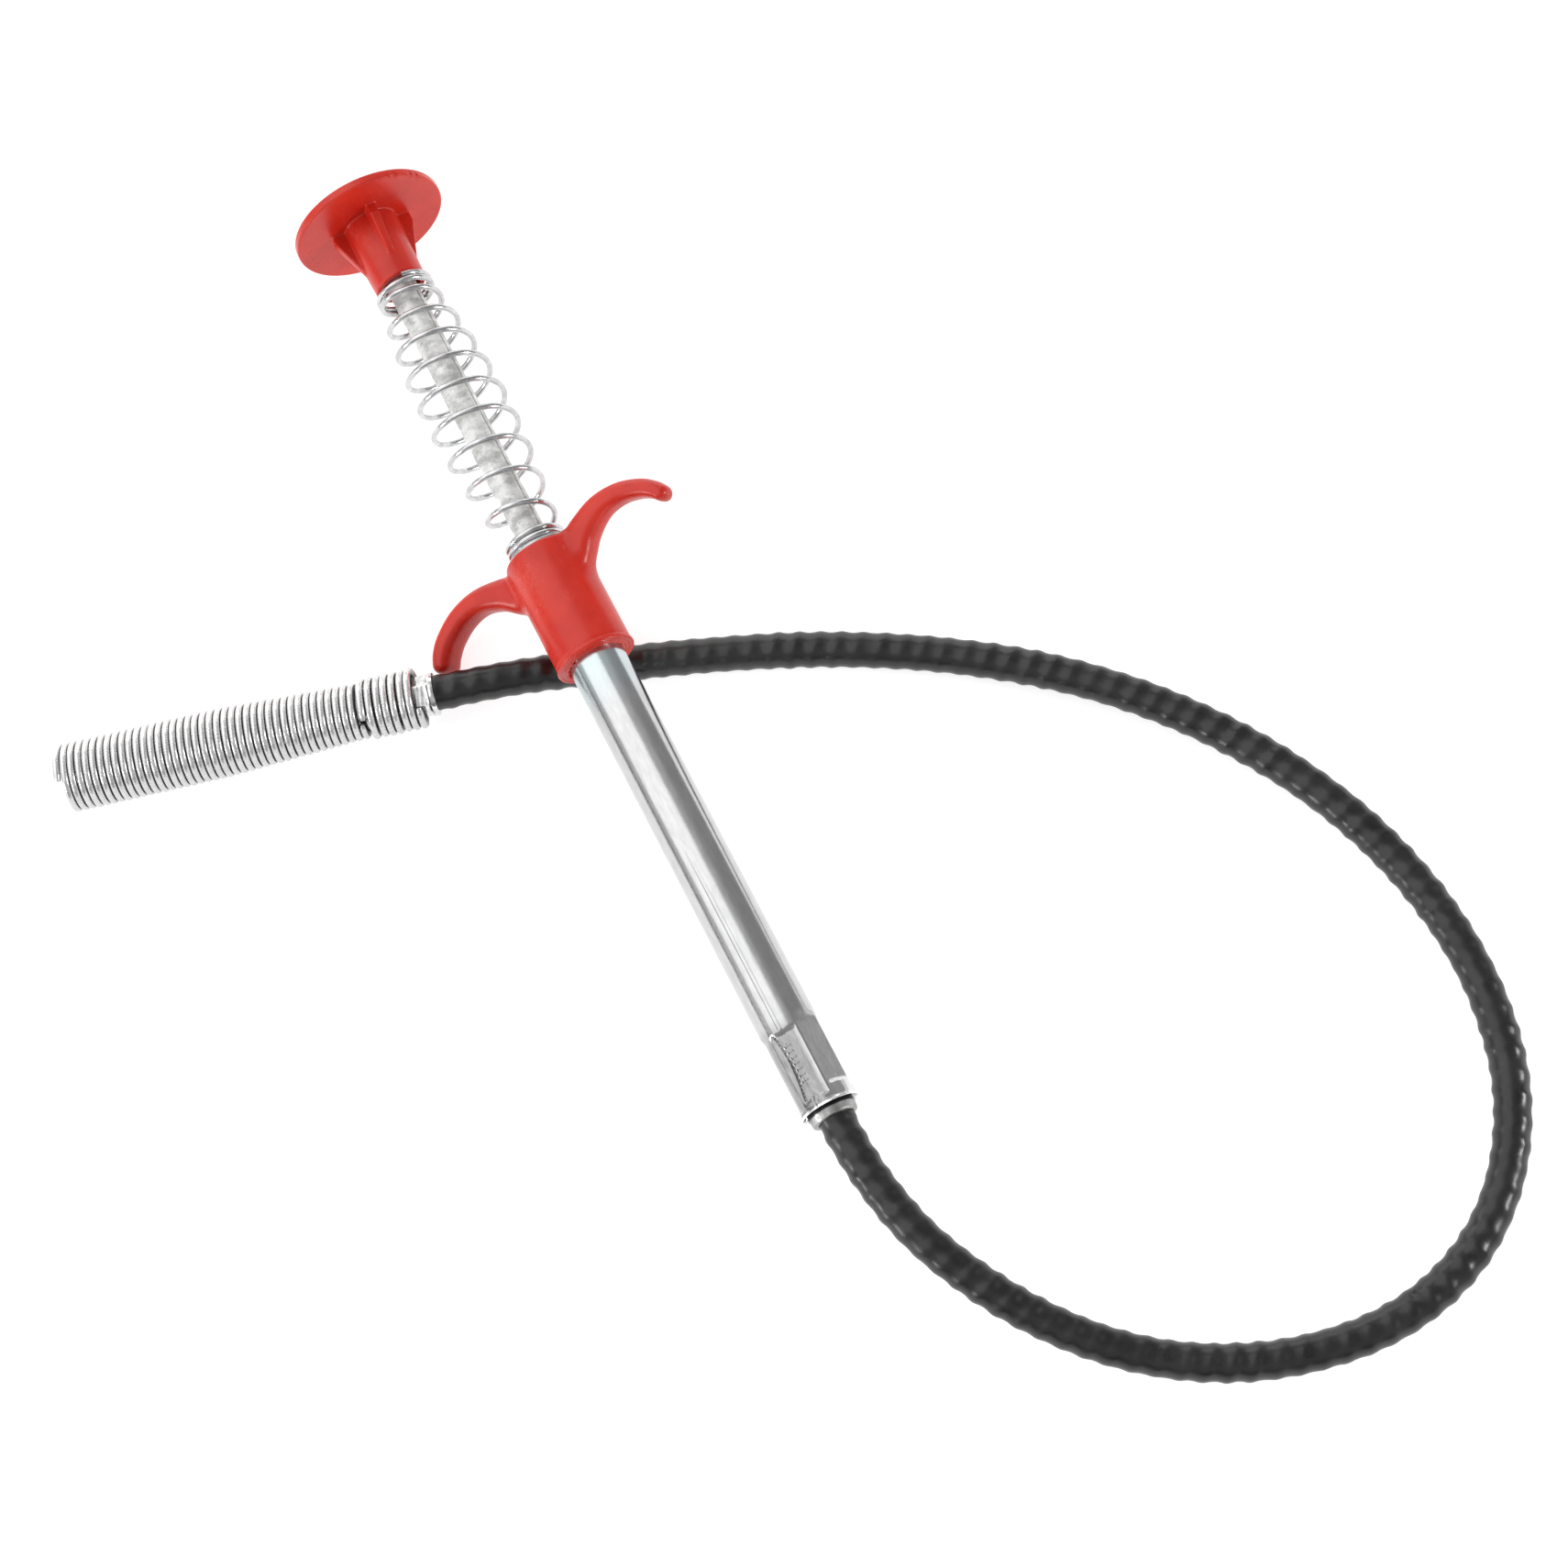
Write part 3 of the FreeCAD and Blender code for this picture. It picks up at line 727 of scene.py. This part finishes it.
ROOT_TURNS = 7.0
ROOT_WIRE_R = 0.57
ROOT_ANGLE = 48  # where the root coil's wire starts and ends, in degrees
ROOT_LEAD = 1.7  # how far the root coil's first turn reaches towards the hose
COIL_GAP = 0.42  # between the root coil and the main coil
COIL_PITCH = 1.01  # in wire thicknesses
COIL_END_ANGLE = math.radians(65)
FERRULE_R = 3.38
FERRULE_FLAT = 2.82  # from the axis to a pressed flat
FERRULE_FLATS = 6
FERRULE_TURN = 0.33
FERRULE_TAIL_R = 3.2
FERRULE_BORE_R = 1.3
root_start, root_end = head_span("head_root_coil")
coil_start, coil_end = head_span("head_coil")
_, ferrule_end = head_span("head_ferrule")


def root_coil():
    """Seven heavy turns over the ferrule's tail, not quite evenly wound, with a stub at the hose side."""
    radius = ROOT_R - HEAD_WIRE / 2
    first = root_start + HEAD_WIRE / 2 - ROOT_LEAD
    pitch = (root_end - root_start - HEAD_WIRE + ROOT_LEAD) / ROOT_TURNS

    def at(turn):
        inner = smooth_step(turn, 0, 1.5) * (1 - smooth_step(turn, ROOT_TURNS - 1, ROOT_TURNS))
        uneven = 0.06 * math.sin(TAU * turn / 3.1 + 0.8) * inner
        return head_point(first + turn * pitch + uneven, radius + 0.05 * math.sin(turn * 2.1),
                          math.radians(ROOT_ANGLE) - TAU * turn)

    line = helix(at, ROOT_TURNS, 56)
    return sweep("head_root_coil_wire", line, cut_end_radii(len(line), ROOT_WIRE_R, 14) * MM, 14,
                 first=tuple(HEAD_AXIS))


def main_coil():
    """The long closed-wound spring: it opens out to its full size by the middle, and ends in a cut wire."""
    first = root_end - HEAD_WIRE / 2 + COIL_GAP
    last = coil_end - HEAD_WIRE / 2
    # it starts just past the end of the root coil's wire
    start_angle = math.radians(ROOT_ANGLE - 12)
    turns = round((last - first) / (HEAD_WIRE * COIL_PITCH)) + (start_angle - COIL_END_ANGLE) / TAU
    pitch = (last - first) / turns

    def at(turn):
        s = first + turn * pitch
        opened = min((s - coil_start) / (COIL_FULL_AT - coil_start), 1)
        size = COIL_FROM_R + (COIL_FULL_R - COIL_FROM_R) * opened
        uneven = 0.035 * ripple(turn * 0.9, 2.0)
        return head_point(s + 0.02 * ripple(turn * 1.3, 4.0), size - HEAD_WIRE / 2 + uneven,
                          COIL_END_ANGLE + TAU * (turns - turn))

    line = helix(at, turns, 52)
    return sweep("head_spring_coil", line, cut_end_radii(len(line), HEAD_WIRE / 2 - 0.02, 12) * MM, 12,
                 first=tuple(HEAD_AXIS))


def ferrule():
    """Crimped on the hose: a rim, six pressed flats, and a plain tail inside the root coil."""
    angles = all_round(120)
    face = TAU / FERRULE_FLATS
    flat = FERRULE_FLAT / np.cos((angles + FERRULE_TURN) % face - face / 2)
    rim = [(-0.35, 3.05), (-0.3, 3.3), (0.0, FERRULE_R), (0.3, FERRULE_R)]
    rings = [head_ring(s, radius, angles) for s, radius in rim]
    for s in np.linspace(0.45, root_start, 14):
        depth = smooth_step(s, 0.35, 0.8)
        pressed = np.minimum(FERRULE_R, flat + 0.015 * np.sin(9 * s + 4 * angles))
        rings.append(head_ring(s, FERRULE_R * (1 - depth) + pressed * depth, angles))
    tail = [(root_start + 0.1, FERRULE_TAIL_R), (ferrule_end - 0.2, FERRULE_TAIL_R), (ferrule_end, 3.0),
            (ferrule_end, FERRULE_BORE_R), (0.2, FERRULE_BORE_R), (-0.35, 2.6)]
    rings += [head_ring(s, radius, angles) for s, radius in tail]
    return skin("head_ferrule_crimped", rings, loop=True, sharp=25)


head_parts = [
    dress(ferrule(), "crimped_steel", ROOT, "head_ferrule"),
    dress(root_coil(), "head_spring_wire", ROOT, "head_root_coil", material="head_root_wire"),
    dress(main_coil(), "head_spring_wire", ROOT, "head_coil"),
]
CLAW_FINGERS = ["claw_finger_%d" % i for i in (1, 2, 3, 4)]


# -------------------- barrel and its fittings
CRIMP_FLATS = 6
CRIMP_FLAT = 4.02  # from the axis to a pressed flat
CRIMP_CROWN = 4.22  # the flats bulge half way out to this radius, apart from the deep one
DEEP_FLAT = 1
MARKED_FLAT = 2  # has ridges from the crimping jaw
FLAT_TURN = math.radians(42)
CREASE_ANGLE = math.radians(128)
SEAM_ANGLE = math.radians(90 + 17)
BARREL_BORE_R = 3.9
COLLAR_START = 150.0
COLLAR_R = 3.88
COLLAR_BORE_R = 2.06
WASHER_R = 5.5
WASHER_BORE_R = 2.5


def jaw_ridges(u, turn):
    """Fine ridges across the middle of a flat."""
    ends = smooth_step(u, CRIMP_START + 1, CRIMP_START + 2)
    ends = ends * (1 - smooth_step(u, BARREL_END - 4, BARREL_END - 3))
    return 0.05 * np.sin(TAU * (u - CRIMP_START) / 0.95) * np.exp(-(turn / 0.24) ** 2) * ends


def crease(u, angles):
    """A lengthwise fold with a low ridge beside it."""
    bend = CREASE_ANGLE - 0.12 * np.sin((u - CRIMP_START) / 3.1)
    across = angle_from(angles, bend) * BARREL_R / MM
    return 0.10 * np.exp(-((across + 0.45) / 0.22) ** 2) - 0.22 * np.exp(-(across / 0.16) ** 2)


def rolled_seam(u, angles):
    """A low bead between two shallow grooves, which fades out towards the grip."""
    across = angle_from(angles, SEAM_ANGLE) * BARREL_R / MM
    bead = 0.035 * np.exp(-(across / 0.16) ** 2) - 0.06 * np.exp(-((np.abs(across) - 0.42) / 0.13) ** 2)
    return bead * smooth_step(u, GRIP_END + 20, GRIP_END + 45)


def barrel_radius(u, angles):
    """Outside radius: round, with a rolled seam, and pressed flat in six places at the hose end."""
    full = BARREL_R / MM
    face = (angles + FLAT_TURN) / (TAU / CRIMP_FLATS)
    index = np.floor(face)
    turn = (face - index - 0.5) * TAU / CRIMP_FLATS
    begin = CRIMP_START - 1.0 + 1.3 * np.sin(2.2 * index + 2.8)
    stop = BARREL_END - 1.9 - 0.9 * np.sin(1.7 * index)
    slope = np.where(index == DEEP_FLAT, 2.2, 0.7)
    depth = smooth_step(u, begin - 0.4, begin + slope) * (1 - smooth_step(u, stop - 0.3, stop + 0.5))
    crown = np.where(index == DEEP_FLAT, 0.0, 0.5)
    pressed = np.minimum(full, CRIMP_FLAT / np.cos(turn) * (1 - crown) + CRIMP_CROWN * crown)
    pressed = pressed + jaw_ridges(u, turn) * (index == MARKED_FLAT) + crease(u, angles)
    flare = 0.16 * smooth_step(u, BARREL_END - 0.7, BARREL_END)
    return full * (1 - depth) + pressed * depth + rolled_seam(u, angles) * (1 - 0.5 * depth) + flare


def barrel():
    """The barrel's outside, with close sections in the crimp, then its mouth and its bore."""
    angles = all_round(288)
    stations = np.concatenate([np.linspace(GRIP_START, GRIP_END + 18, 8),
                               np.linspace(GRIP_END + 20, CRIMP_START - 2.5, 30),
                               np.arange(CRIMP_START - 2.2, BARREL_END - 0.1, 0.12)])
    rings = [barrel_ring(u, barrel_radius(u, angles), angles) for u in stations]
    rim = barrel_radius(BARREL_END, angles)
    inside = [(BARREL_END - 0.05, rim - 0.01), (BARREL_END, rim - 0.08), (BARREL_END, rim - 0.22),
              (BARREL_END - 1.4, BARREL_BORE_R + 0.1), (BARREL_END - 1.5, BARREL_BORE_R),
              (GRIP_START, BARREL_BORE_R)]
    rings += [barrel_ring(u, radius, angles) for u, radius in inside]
    return skin("barrel_crimped", rings, loop=True, sharp=35)


dress(barrel(), "bright_zinc", ROOT, "barrel_tube")


def collar():
    """Peeks out of the crimp and closes on the hose."""
    end = COLLAR_END
    outline = [(COLLAR_START, COLLAR_BORE_R), (COLLAR_START, COLLAR_R), (end - 3.6, COLLAR_R),
               (end - 2.6, 3.62), (end - 0.25, 3.6), (end + 0.05, 3.5), (end + 0.2, 3.25),
               (end + 0.2, 2.95), (end + 0.1, 2.74), (end - 0.4, 2.7), (end - 0.5, COLLAR_BORE_R)]
    return turned("hose_collar_lipped", barrel_ring, outline, 96)


dress(collar(), "crimped_steel", ROOT, "hose_collar", material="collar_steel")


def washer():
    """A flat washer with broken edges."""
    low = station(washer_box[0].x)
    high = station(washer_box[1].x)
    outline = [(high, WASHER_BORE_R + 0.1), (low + 0.12, WASHER_BORE_R), (low, WASHER_BORE_R + 0.15),
               (low, WASHER_R - 0.2), (low + 0.1, WASHER_R - 0.05), ((low + high) / 2, WASHER_R),
               (high - 0.1, WASHER_R - 0.05), (high, WASHER_R - 0.2)]
    return turned("spring_washer_deburred", barrel_ring, outline, 96)


dress(washer(), "turned_steel", ROOT, "spring_washer")


# -------------------- grip
GRIP_R = 6.2
LIP_R = 6.38  # the raised rim at the barrel's side
SEAT_R = 5.7  # the washer's recess
HOOK_ROLL = math.radians(26)
HOOK_REACH = 24.9
HOOK_FILLET = 1.3
HOOK_SQUARENESS = 2.7  # 2 is an ellipse, and more is squarer
HOOK_SHIFT = {1: 0.0, -1: 0.45}  # the lower hook reaches a little further
# half the depth at the root and the tip, how far the tip's middle is raised, its extra width, and its lead
HOOK_SHAPE = {1: (2.6, 1.8, 0, 0, 0), -1: (2.6, 2.75, 0.8, 0.32, 0.6)}
# along the hook's middle: station, distance from the axis, half its width
HOOK_LINE = [(70.9, 2.5, 3.9), (69.9, 5.0, 3.3), (67.7, 8.4, 2.45), (66.25, 12.4, 1.9), (66.5, 16.4, 1.65),
             (68.0, 19.8, 1.5), (69.6, 21.7, 1.4), (70.8, 22.55, 1.3)]


def hook_curve(count):
    """The hook's middle line, smoothed through its points."""
    points = np.array(HOOK_LINE)
    padded = np.vstack([2 * points[0] - points[1], points, 2 * points[-1] - points[-2]])
    made = []
    for t in np.linspace(0, len(points) - 1.0001, count):
        i = int(t)
        f = t - i
        a, b, c, d = padded[i:i + 4]
        made.append(0.5 * (2 * b + (c - a) * f + (2 * a - 5 * b + 4 * c - d) * f ** 2
                           + (3 * b - a - 3 * c + d) * f ** 3))
    return np.array(made)


def hook_distance(u, y, z, side):
    """Roughly the distance to a finger hook: a bar with rounded corners, narrower towards its tip."""
    reach = side * (y * math.cos(HOOK_ROLL) + z * math.sin(HOOK_ROLL)) - HOOK_SHIFT[side]
    root, tip, rise, extra, lead = HOOK_SHAPE[side]
    along = np.clip((reach - GRIP_R) / (HOOK_REACH - GRIP_R), 0, 1)
    u = u - lead * along
    depth = np.abs(z * math.cos(HOOK_ROLL) - y * math.sin(HOOK_ROLL) - rise * along)
    nearest = np.full(np.broadcast(u, y, z).shape, 1e3, np.float32)
    half = np.zeros(nearest.shape, np.float32)
    curve = hook_curve(48)
    for (u0, w0, h0), (u1, w1, h1) in zip(curve, curve[1:]):
        du, dw = u1 - u0, w1 - w0
        t = np.clip(((u - u0) * du + (reach - w0) * dw) / (du * du + dw * dw), 0, 1)
        away = np.hypot(u - u0 - t * du, reach - w0 - t * dw)
        closer = away < nearest
        nearest = np.where(closer, away, nearest)
        half = np.where(closer, h0 + t * (h1 - h0), half)
    thick = root + (tip - root) * along - 0.35 * smooth_step(reach, HOOK_REACH - 3.0, HOOK_REACH)
    half = np.maximum(half + extra * along, 0.5)
    section = (nearest / half) ** HOOK_SQUARENESS + (depth / thick) ** HOOK_SQUARENESS
    return (section ** (1 / HOOK_SQUARENESS) - 1) * np.minimum(half, thick)


def grip_distance(u, y, z):
    """A sleeve with two hooks, a recess for the washer, and a lip with grooves and moulding flash."""
    rho = np.hypot(y, z)
    angle = np.arctan2(z, y)
    shape = disc(u, rho, GRIP_START, GRIP_END - 0.25, GRIP_R, 0.45)
    shape = smooth_join(shape, disc(u, rho, GRIP_END - 0.7, GRIP_END, LIP_R, 0.16), 0.2)
    for side in (1, -1):
        shape = smooth_join(shape, hook_distance(u, y, z, side), HOOK_FILLET)
    shape = smooth_cut(shape, round_box(u - GRIP_START, rho - SEAT_R, 0.1), 0.15)
    groove = np.minimum(np.hypot(u - GRIP_END, rho - 5.72), np.hypot(u - GRIP_END, rho - 5.1)) - 0.2
    shape = smooth_cut(shape, groove, 0.08)
    shape = smooth_cut(shape, np.hypot(u - GRIP_END + 0.85, rho - 6.22) - 0.14, 0.08)
    flash = 0.30 + 0.28 * np.sin(5 * angle + 1.0) * np.sin(11 * angle) + 0.22 * np.sin(23 * angle + 2.0)
    fin = round_box(u - GRIP_END - np.maximum(flash, 0) * smooth_step(-np.cos(angle - 0.6), -0.2, 0.9),
                    np.abs(rho - 4.72) - 0.16, 0.05)
    fin = np.maximum(fin, GRIP_END - 1.5 - u)
    shape = smooth_join(shape, fin, 0.15)
    return np.maximum(shape, BARREL_R / MM - 0.03 - rho)


CELL = 0.19
PLATE_CELL = 0.14
dress(moulded("grip_moulding", (63.0, -24.6, -13.2), (88.0, 24.6, 13.2), CELL, grip_distance),
      "red_plastic", ROOT, "handle_grip")


# -------------------- plunger
PLATE_THICK = 1.45
DISH_R = 60.0
DISH_DEPTH = 0.35
CHIPPED_AT = 0.85  # the angle of the chips in the rim
STEM_R = 4.18
STEM_TAPER = 0.032
STEM_POCKET_R = 3.3
STEM_POCKET = 7.0  # its depth
WEB_COUNT = 4
WEB_TURN = 14.0
WEB_REACH = 6.6
WEB_SHOULDER = 3.2  # from here a web slopes down to the stem
WEB_RUN = 7.4
WEB_FALL = 2.5
WEB_END = 10.6
WEB_HALF = 0.86
TUBE_BORE_R = 1.6
TUBE_SEAM_ANGLE = math.radians(38)


def web_distance(u, y, z, roll):
    """One drafted web between the plate and its stem."""
    out = z * math.cos(roll) - y * math.sin(roll)
    wide = np.abs(y * math.cos(roll) + z * math.sin(roll))
    slope = ((out - WEB_REACH) * WEB_RUN + (u - WEB_SHOULDER) * WEB_FALL) / math.hypot(WEB_RUN, WEB_FALL)
    edge = round_box(np.maximum(slope, out - WEB_REACH), wide - WEB_HALF + 0.035 * u, 0.16)
    return np.maximum(np.maximum(edge, u - WEB_END), np.maximum(0.7 - u, 3.0 - out))


def plate_distance(u, y, z):
    """Thumb plate with a shallow dish, a tapered hollow stem, and four drafted webs."""
    rho = np.hypot(y, z)
    angle = np.arctan2(z, y)
    radius = PLATE_R / MM
    chips = np.maximum(np.sin(37 * angle) * np.sin(17 * angle + 1), 0)
    chips = chips * smooth_step(np.cos(angle - CHIPPED_AT), 0.90, 0.97)
    shape = disc(u, rho, 0, PLATE_THICK, radius - 0.02, 0.30)
    shape = shape + 0.3 * chips * smooth_step(rho, radius - 0.6, radius) * smooth_step(u, 0.7, 1.2)
    shape = np.maximum(shape, DISH_R - np.hypot(u + DISH_R - DISH_DEPTH, rho))
    stem = disc(u, rho - STEM_TAPER * (STEM_END - u), 0.6, STEM_END, STEM_R, 0.25)
    shape = smooth_join(shape, stem, 0.12)
    for i in range(WEB_COUNT):
        roll = math.radians(i * 360.0 / WEB_COUNT - WEB_TURN)
        shape = smooth_join(shape, web_distance(u, y, z, roll), 0.14)
    pocket = round_box(STEM_END - STEM_POCKET - u, rho - STEM_POCKET_R, 0.1)
    shape = smooth_cut(shape, pocket, 0.2)
    return np.maximum(shape, -round_box(3.0 - u, rho - TUBE_R + 0.02, 0.05))


dress(moulded("thumb_plate_moulding", (-0.8, -13.2, -13.2), (15.0, 13.2, 13.2), PLATE_CELL, plate_distance),
      "red_plastic", "plunger", "thumb_plate")


def plunger_tube():
    """Rolled tube with a lengthwise butt seam and a slightly uneven dipped surface."""
    angles = all_round(144)
    start = station(tube_box[0].x)
    end = station(tube_box[1].x)
    across = angle_from(angles, TUBE_SEAM_ANGLE) * TUBE_R
    seam = -0.17 * np.exp(-(across / 0.14) ** 2)
    rings = []
    for u in np.arange(start, end, 0.35):
        wave = 0.018 * ripple(u * 0.9 + 2 * np.cos(angles), 1.0)
        rings.append(barrel_ring(u, TUBE_R + seam + wave, angles))
    ends = [(end, TUBE_R - 0.08), (end, TUBE_BORE_R), (start, TUBE_BORE_R)]
    rings += [barrel_ring(u, radius, angles) for u, radius in ends]
    return skin("plunger_tube_rolled", rings, loop=True, sharp=50)


dress(plunger_tube(), "galvanised_steel", "plunger", "plunger_tube")

# -------------------- return spring
SPRING_WIRE = 0.95
SPRING_END_R = 4.4
SPRING_MIDDLE_R = 6.65
SPRING_START_ANGLE = math.radians(80)
SPRING_PLAY = 0.05  # between the wire and what it rests on
CLOSED_TURNS = 1.75
CLOSED_PITCH = 1.05  # in wire thicknesses
OPEN_TURNS = 9
PITCH_GROWTH = 0.14
SPRING_FROM = STEM_END + SPRING_PLAY + SPRING_WIRE / 2
SPRING_TO = station(washer_box[0].x) - SPRING_PLAY - SPRING_WIRE / 2
CLOSED = CLOSED_TURNS * SPRING_WIRE * CLOSED_PITCH
OPEN_LENGTH = SPRING_TO - SPRING_FROM - 2 * CLOSED
LAST_OPEN = CLOSED_TURNS + OPEN_TURNS


def spring_point(turn):
    """A point on the barrel-shaped spring's wire; the open turns spread a little towards the grip."""
    share = min(max((turn - CLOSED_TURNS) / OPEN_TURNS, 0), 1)
    closed = min(turn, CLOSED_TURNS) + max(turn - LAST_OPEN, 0)
    spread = share + PITCH_GROWTH * (share * share - share)
    u = SPRING_FROM + closed * SPRING_WIRE * CLOSED_PITCH + spread * OPEN_LENGTH
    radius = (SPRING_END_R + (SPRING_MIDDLE_R - SPRING_END_R) * math.sin(math.pi * share)) * MM
    angle = SPRING_START_ANGLE - TAU * turn
    return np.array([X_FACE + u * MM, radius * math.cos(angle), AXIS_Z + radius * math.sin(angle)])


def spring_piece(name, first, last):
    """The spring's wire from one turn to another."""
    steps = int((last - first) * 56)
    line = np.array([spring_point(first + (last - first) * i / steps) for i in range(steps + 1)])
    return sweep(name, line, SPRING_WIRE / 2 * MM, 14, first=(1, 0, 0))


dress(spring_piece("return_spring_seat_turns", 0, CLOSED_TURNS),
      "zinc_spring_wire", "plunger", "return_spring")
dress(spring_piece("return_spring_grip_turns", LAST_OPEN, LAST_OPEN + CLOSED_TURNS),
      "zinc_spring_wire", ROOT)
middle = dress(spring_piece("return_spring_open_turns", CLOSED_TURNS, LAST_OPEN),
               "zinc_spring_wire", ROOT)
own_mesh(middle)

# -------------------- CAD nodes that stay as they are
KEPT = {
    "turned_steel": ["tube_end_plug", "stop_ring", "guide_bush", "claw_carriage"],
    "steel_cable": ["cable_drive_end", "cable_claw_end"],
    "claw_wire": CLAW_FINGERS,
}
for kept_material, kept_nodes in KEPT.items():
    for node in kept_nodes:
        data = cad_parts[node].data
        data.materials.clear()
        data.materials.append(MATERIALS[kept_material])

# -------------------- floor and light, in metres
FLOOR_SIZE = 8.0
FLOOR_DROP = 0.0001
SET_MIDDLE = (0.04, 0.02, 0.0)


def make_floor():
    """A plain white floor just under the tool."""
    half = FLOOR_SIZE / 2
    corners = [(x, y, -FLOOR_DROP) for x, y in ((-half, -half), (half, -half), (half, half), (-half, half))]
    floor = new_object("floor", corners, [(0, 1, 2, 3)])
    made = Surface("studio_floor", (0.50, 0.50, 0.50), roughness=0.75, Specular_IOR_Level=0.2,
                   Emission_Color=(1, 1, 1, 1), Emission_Strength=0.76)
    made.colour(made.mix(made.ramp(made.noise(0.4, detail=2), 0.3, 0.7), (0.495, 0.495, 0.495),
                         (0.505, 0.505, 0.505)))
    floor.data.materials.append(made.material)


def area_light(name, place, target, size, power):
    """A soft light at place that shines towards target."""
    data = bpy.data.lights.new(name, "AREA")
    data.shape = "RECTANGLE"
    data.size, data.size_y = size
    data.energy = power
    lamp = bpy.data.objects.new(name, data)
    lamp.location = place
    lamp.rotation_mode = "QUATERNION"
    lamp.rotation_quaternion = (Vector(target) - Vector(place)).to_track_quat("-Z", "Y")
    lamp.visible_camera = False
    bpy.context.scene.collection.objects.link(lamp)


def grey_card(name, corners, grey):
    """A card beside the set that the metal reflects."""
    card = new_object(name, corners, [tuple(range(len(corners)))])
    made = Surface(name, (grey,) * 3, roughness=0.9)
    made.colour(made.mix(made.noise(0.3), (grey * 0.95,) * 3, (grey * 1.05,) * 3))
    card.data.materials.append(made.material)
    card.visible_camera = False


def make_light():
    """White surroundings, four area lights, and three grey cards for the metal to reflect."""
    world = bpy.data.worlds.new("studio")
    world.use_nodes = True
    world.node_tree.nodes["Background"].inputs["Color"].default_value = (1.0, 1.0, 1.0, 1)
    world.node_tree.nodes["Background"].inputs["Strength"].default_value = 0.56
    bpy.context.scene.world = world
    bpy.context.scene.view_settings.view_transform = "Standard"
    area_light("soft_key", (-0.45, -0.60, 1.10), SET_MIDDLE, (2.0, 1.5), 9.5)
    area_light("soft_back", (-1.30, 0.20, 0.42), SET_MIDDLE, (1.8, 0.8), 6)
    area_light("hose_glint", (0.12, -0.72, 0.16), (0.07, 0.08, 0.0), (0.30, 0.08), 1.5)
    area_light("side_glint", (0.34, 0.485, 0.21), (0.13, 0.08, 0.0), (0.16, 0.12), 1.4)
    grey_card("card_left", [(-0.9, -1.0, 0.005), (0.9, -1.0, 0.005), (0.9, -1.0, 0.16), (-0.9, -1.0, 0.16)],
              0.12)
    grey_card("card_front", [(1.0, 0.1, 0.005), (0.7, -0.9, 0.005), (0.7, -0.9, 0.40), (1.0, 0.1, 0.40)],
              0.12)
    grey_card("card_right", [(-0.45, 0.75, 0.02), (0.9, 0.75, 0.02), (0.9, 0.15, 1.20), (-0.05, 0.15, 1.20),
                             (-0.28, 0.48, 0.551)], 0.24)


make_floor()
make_light()
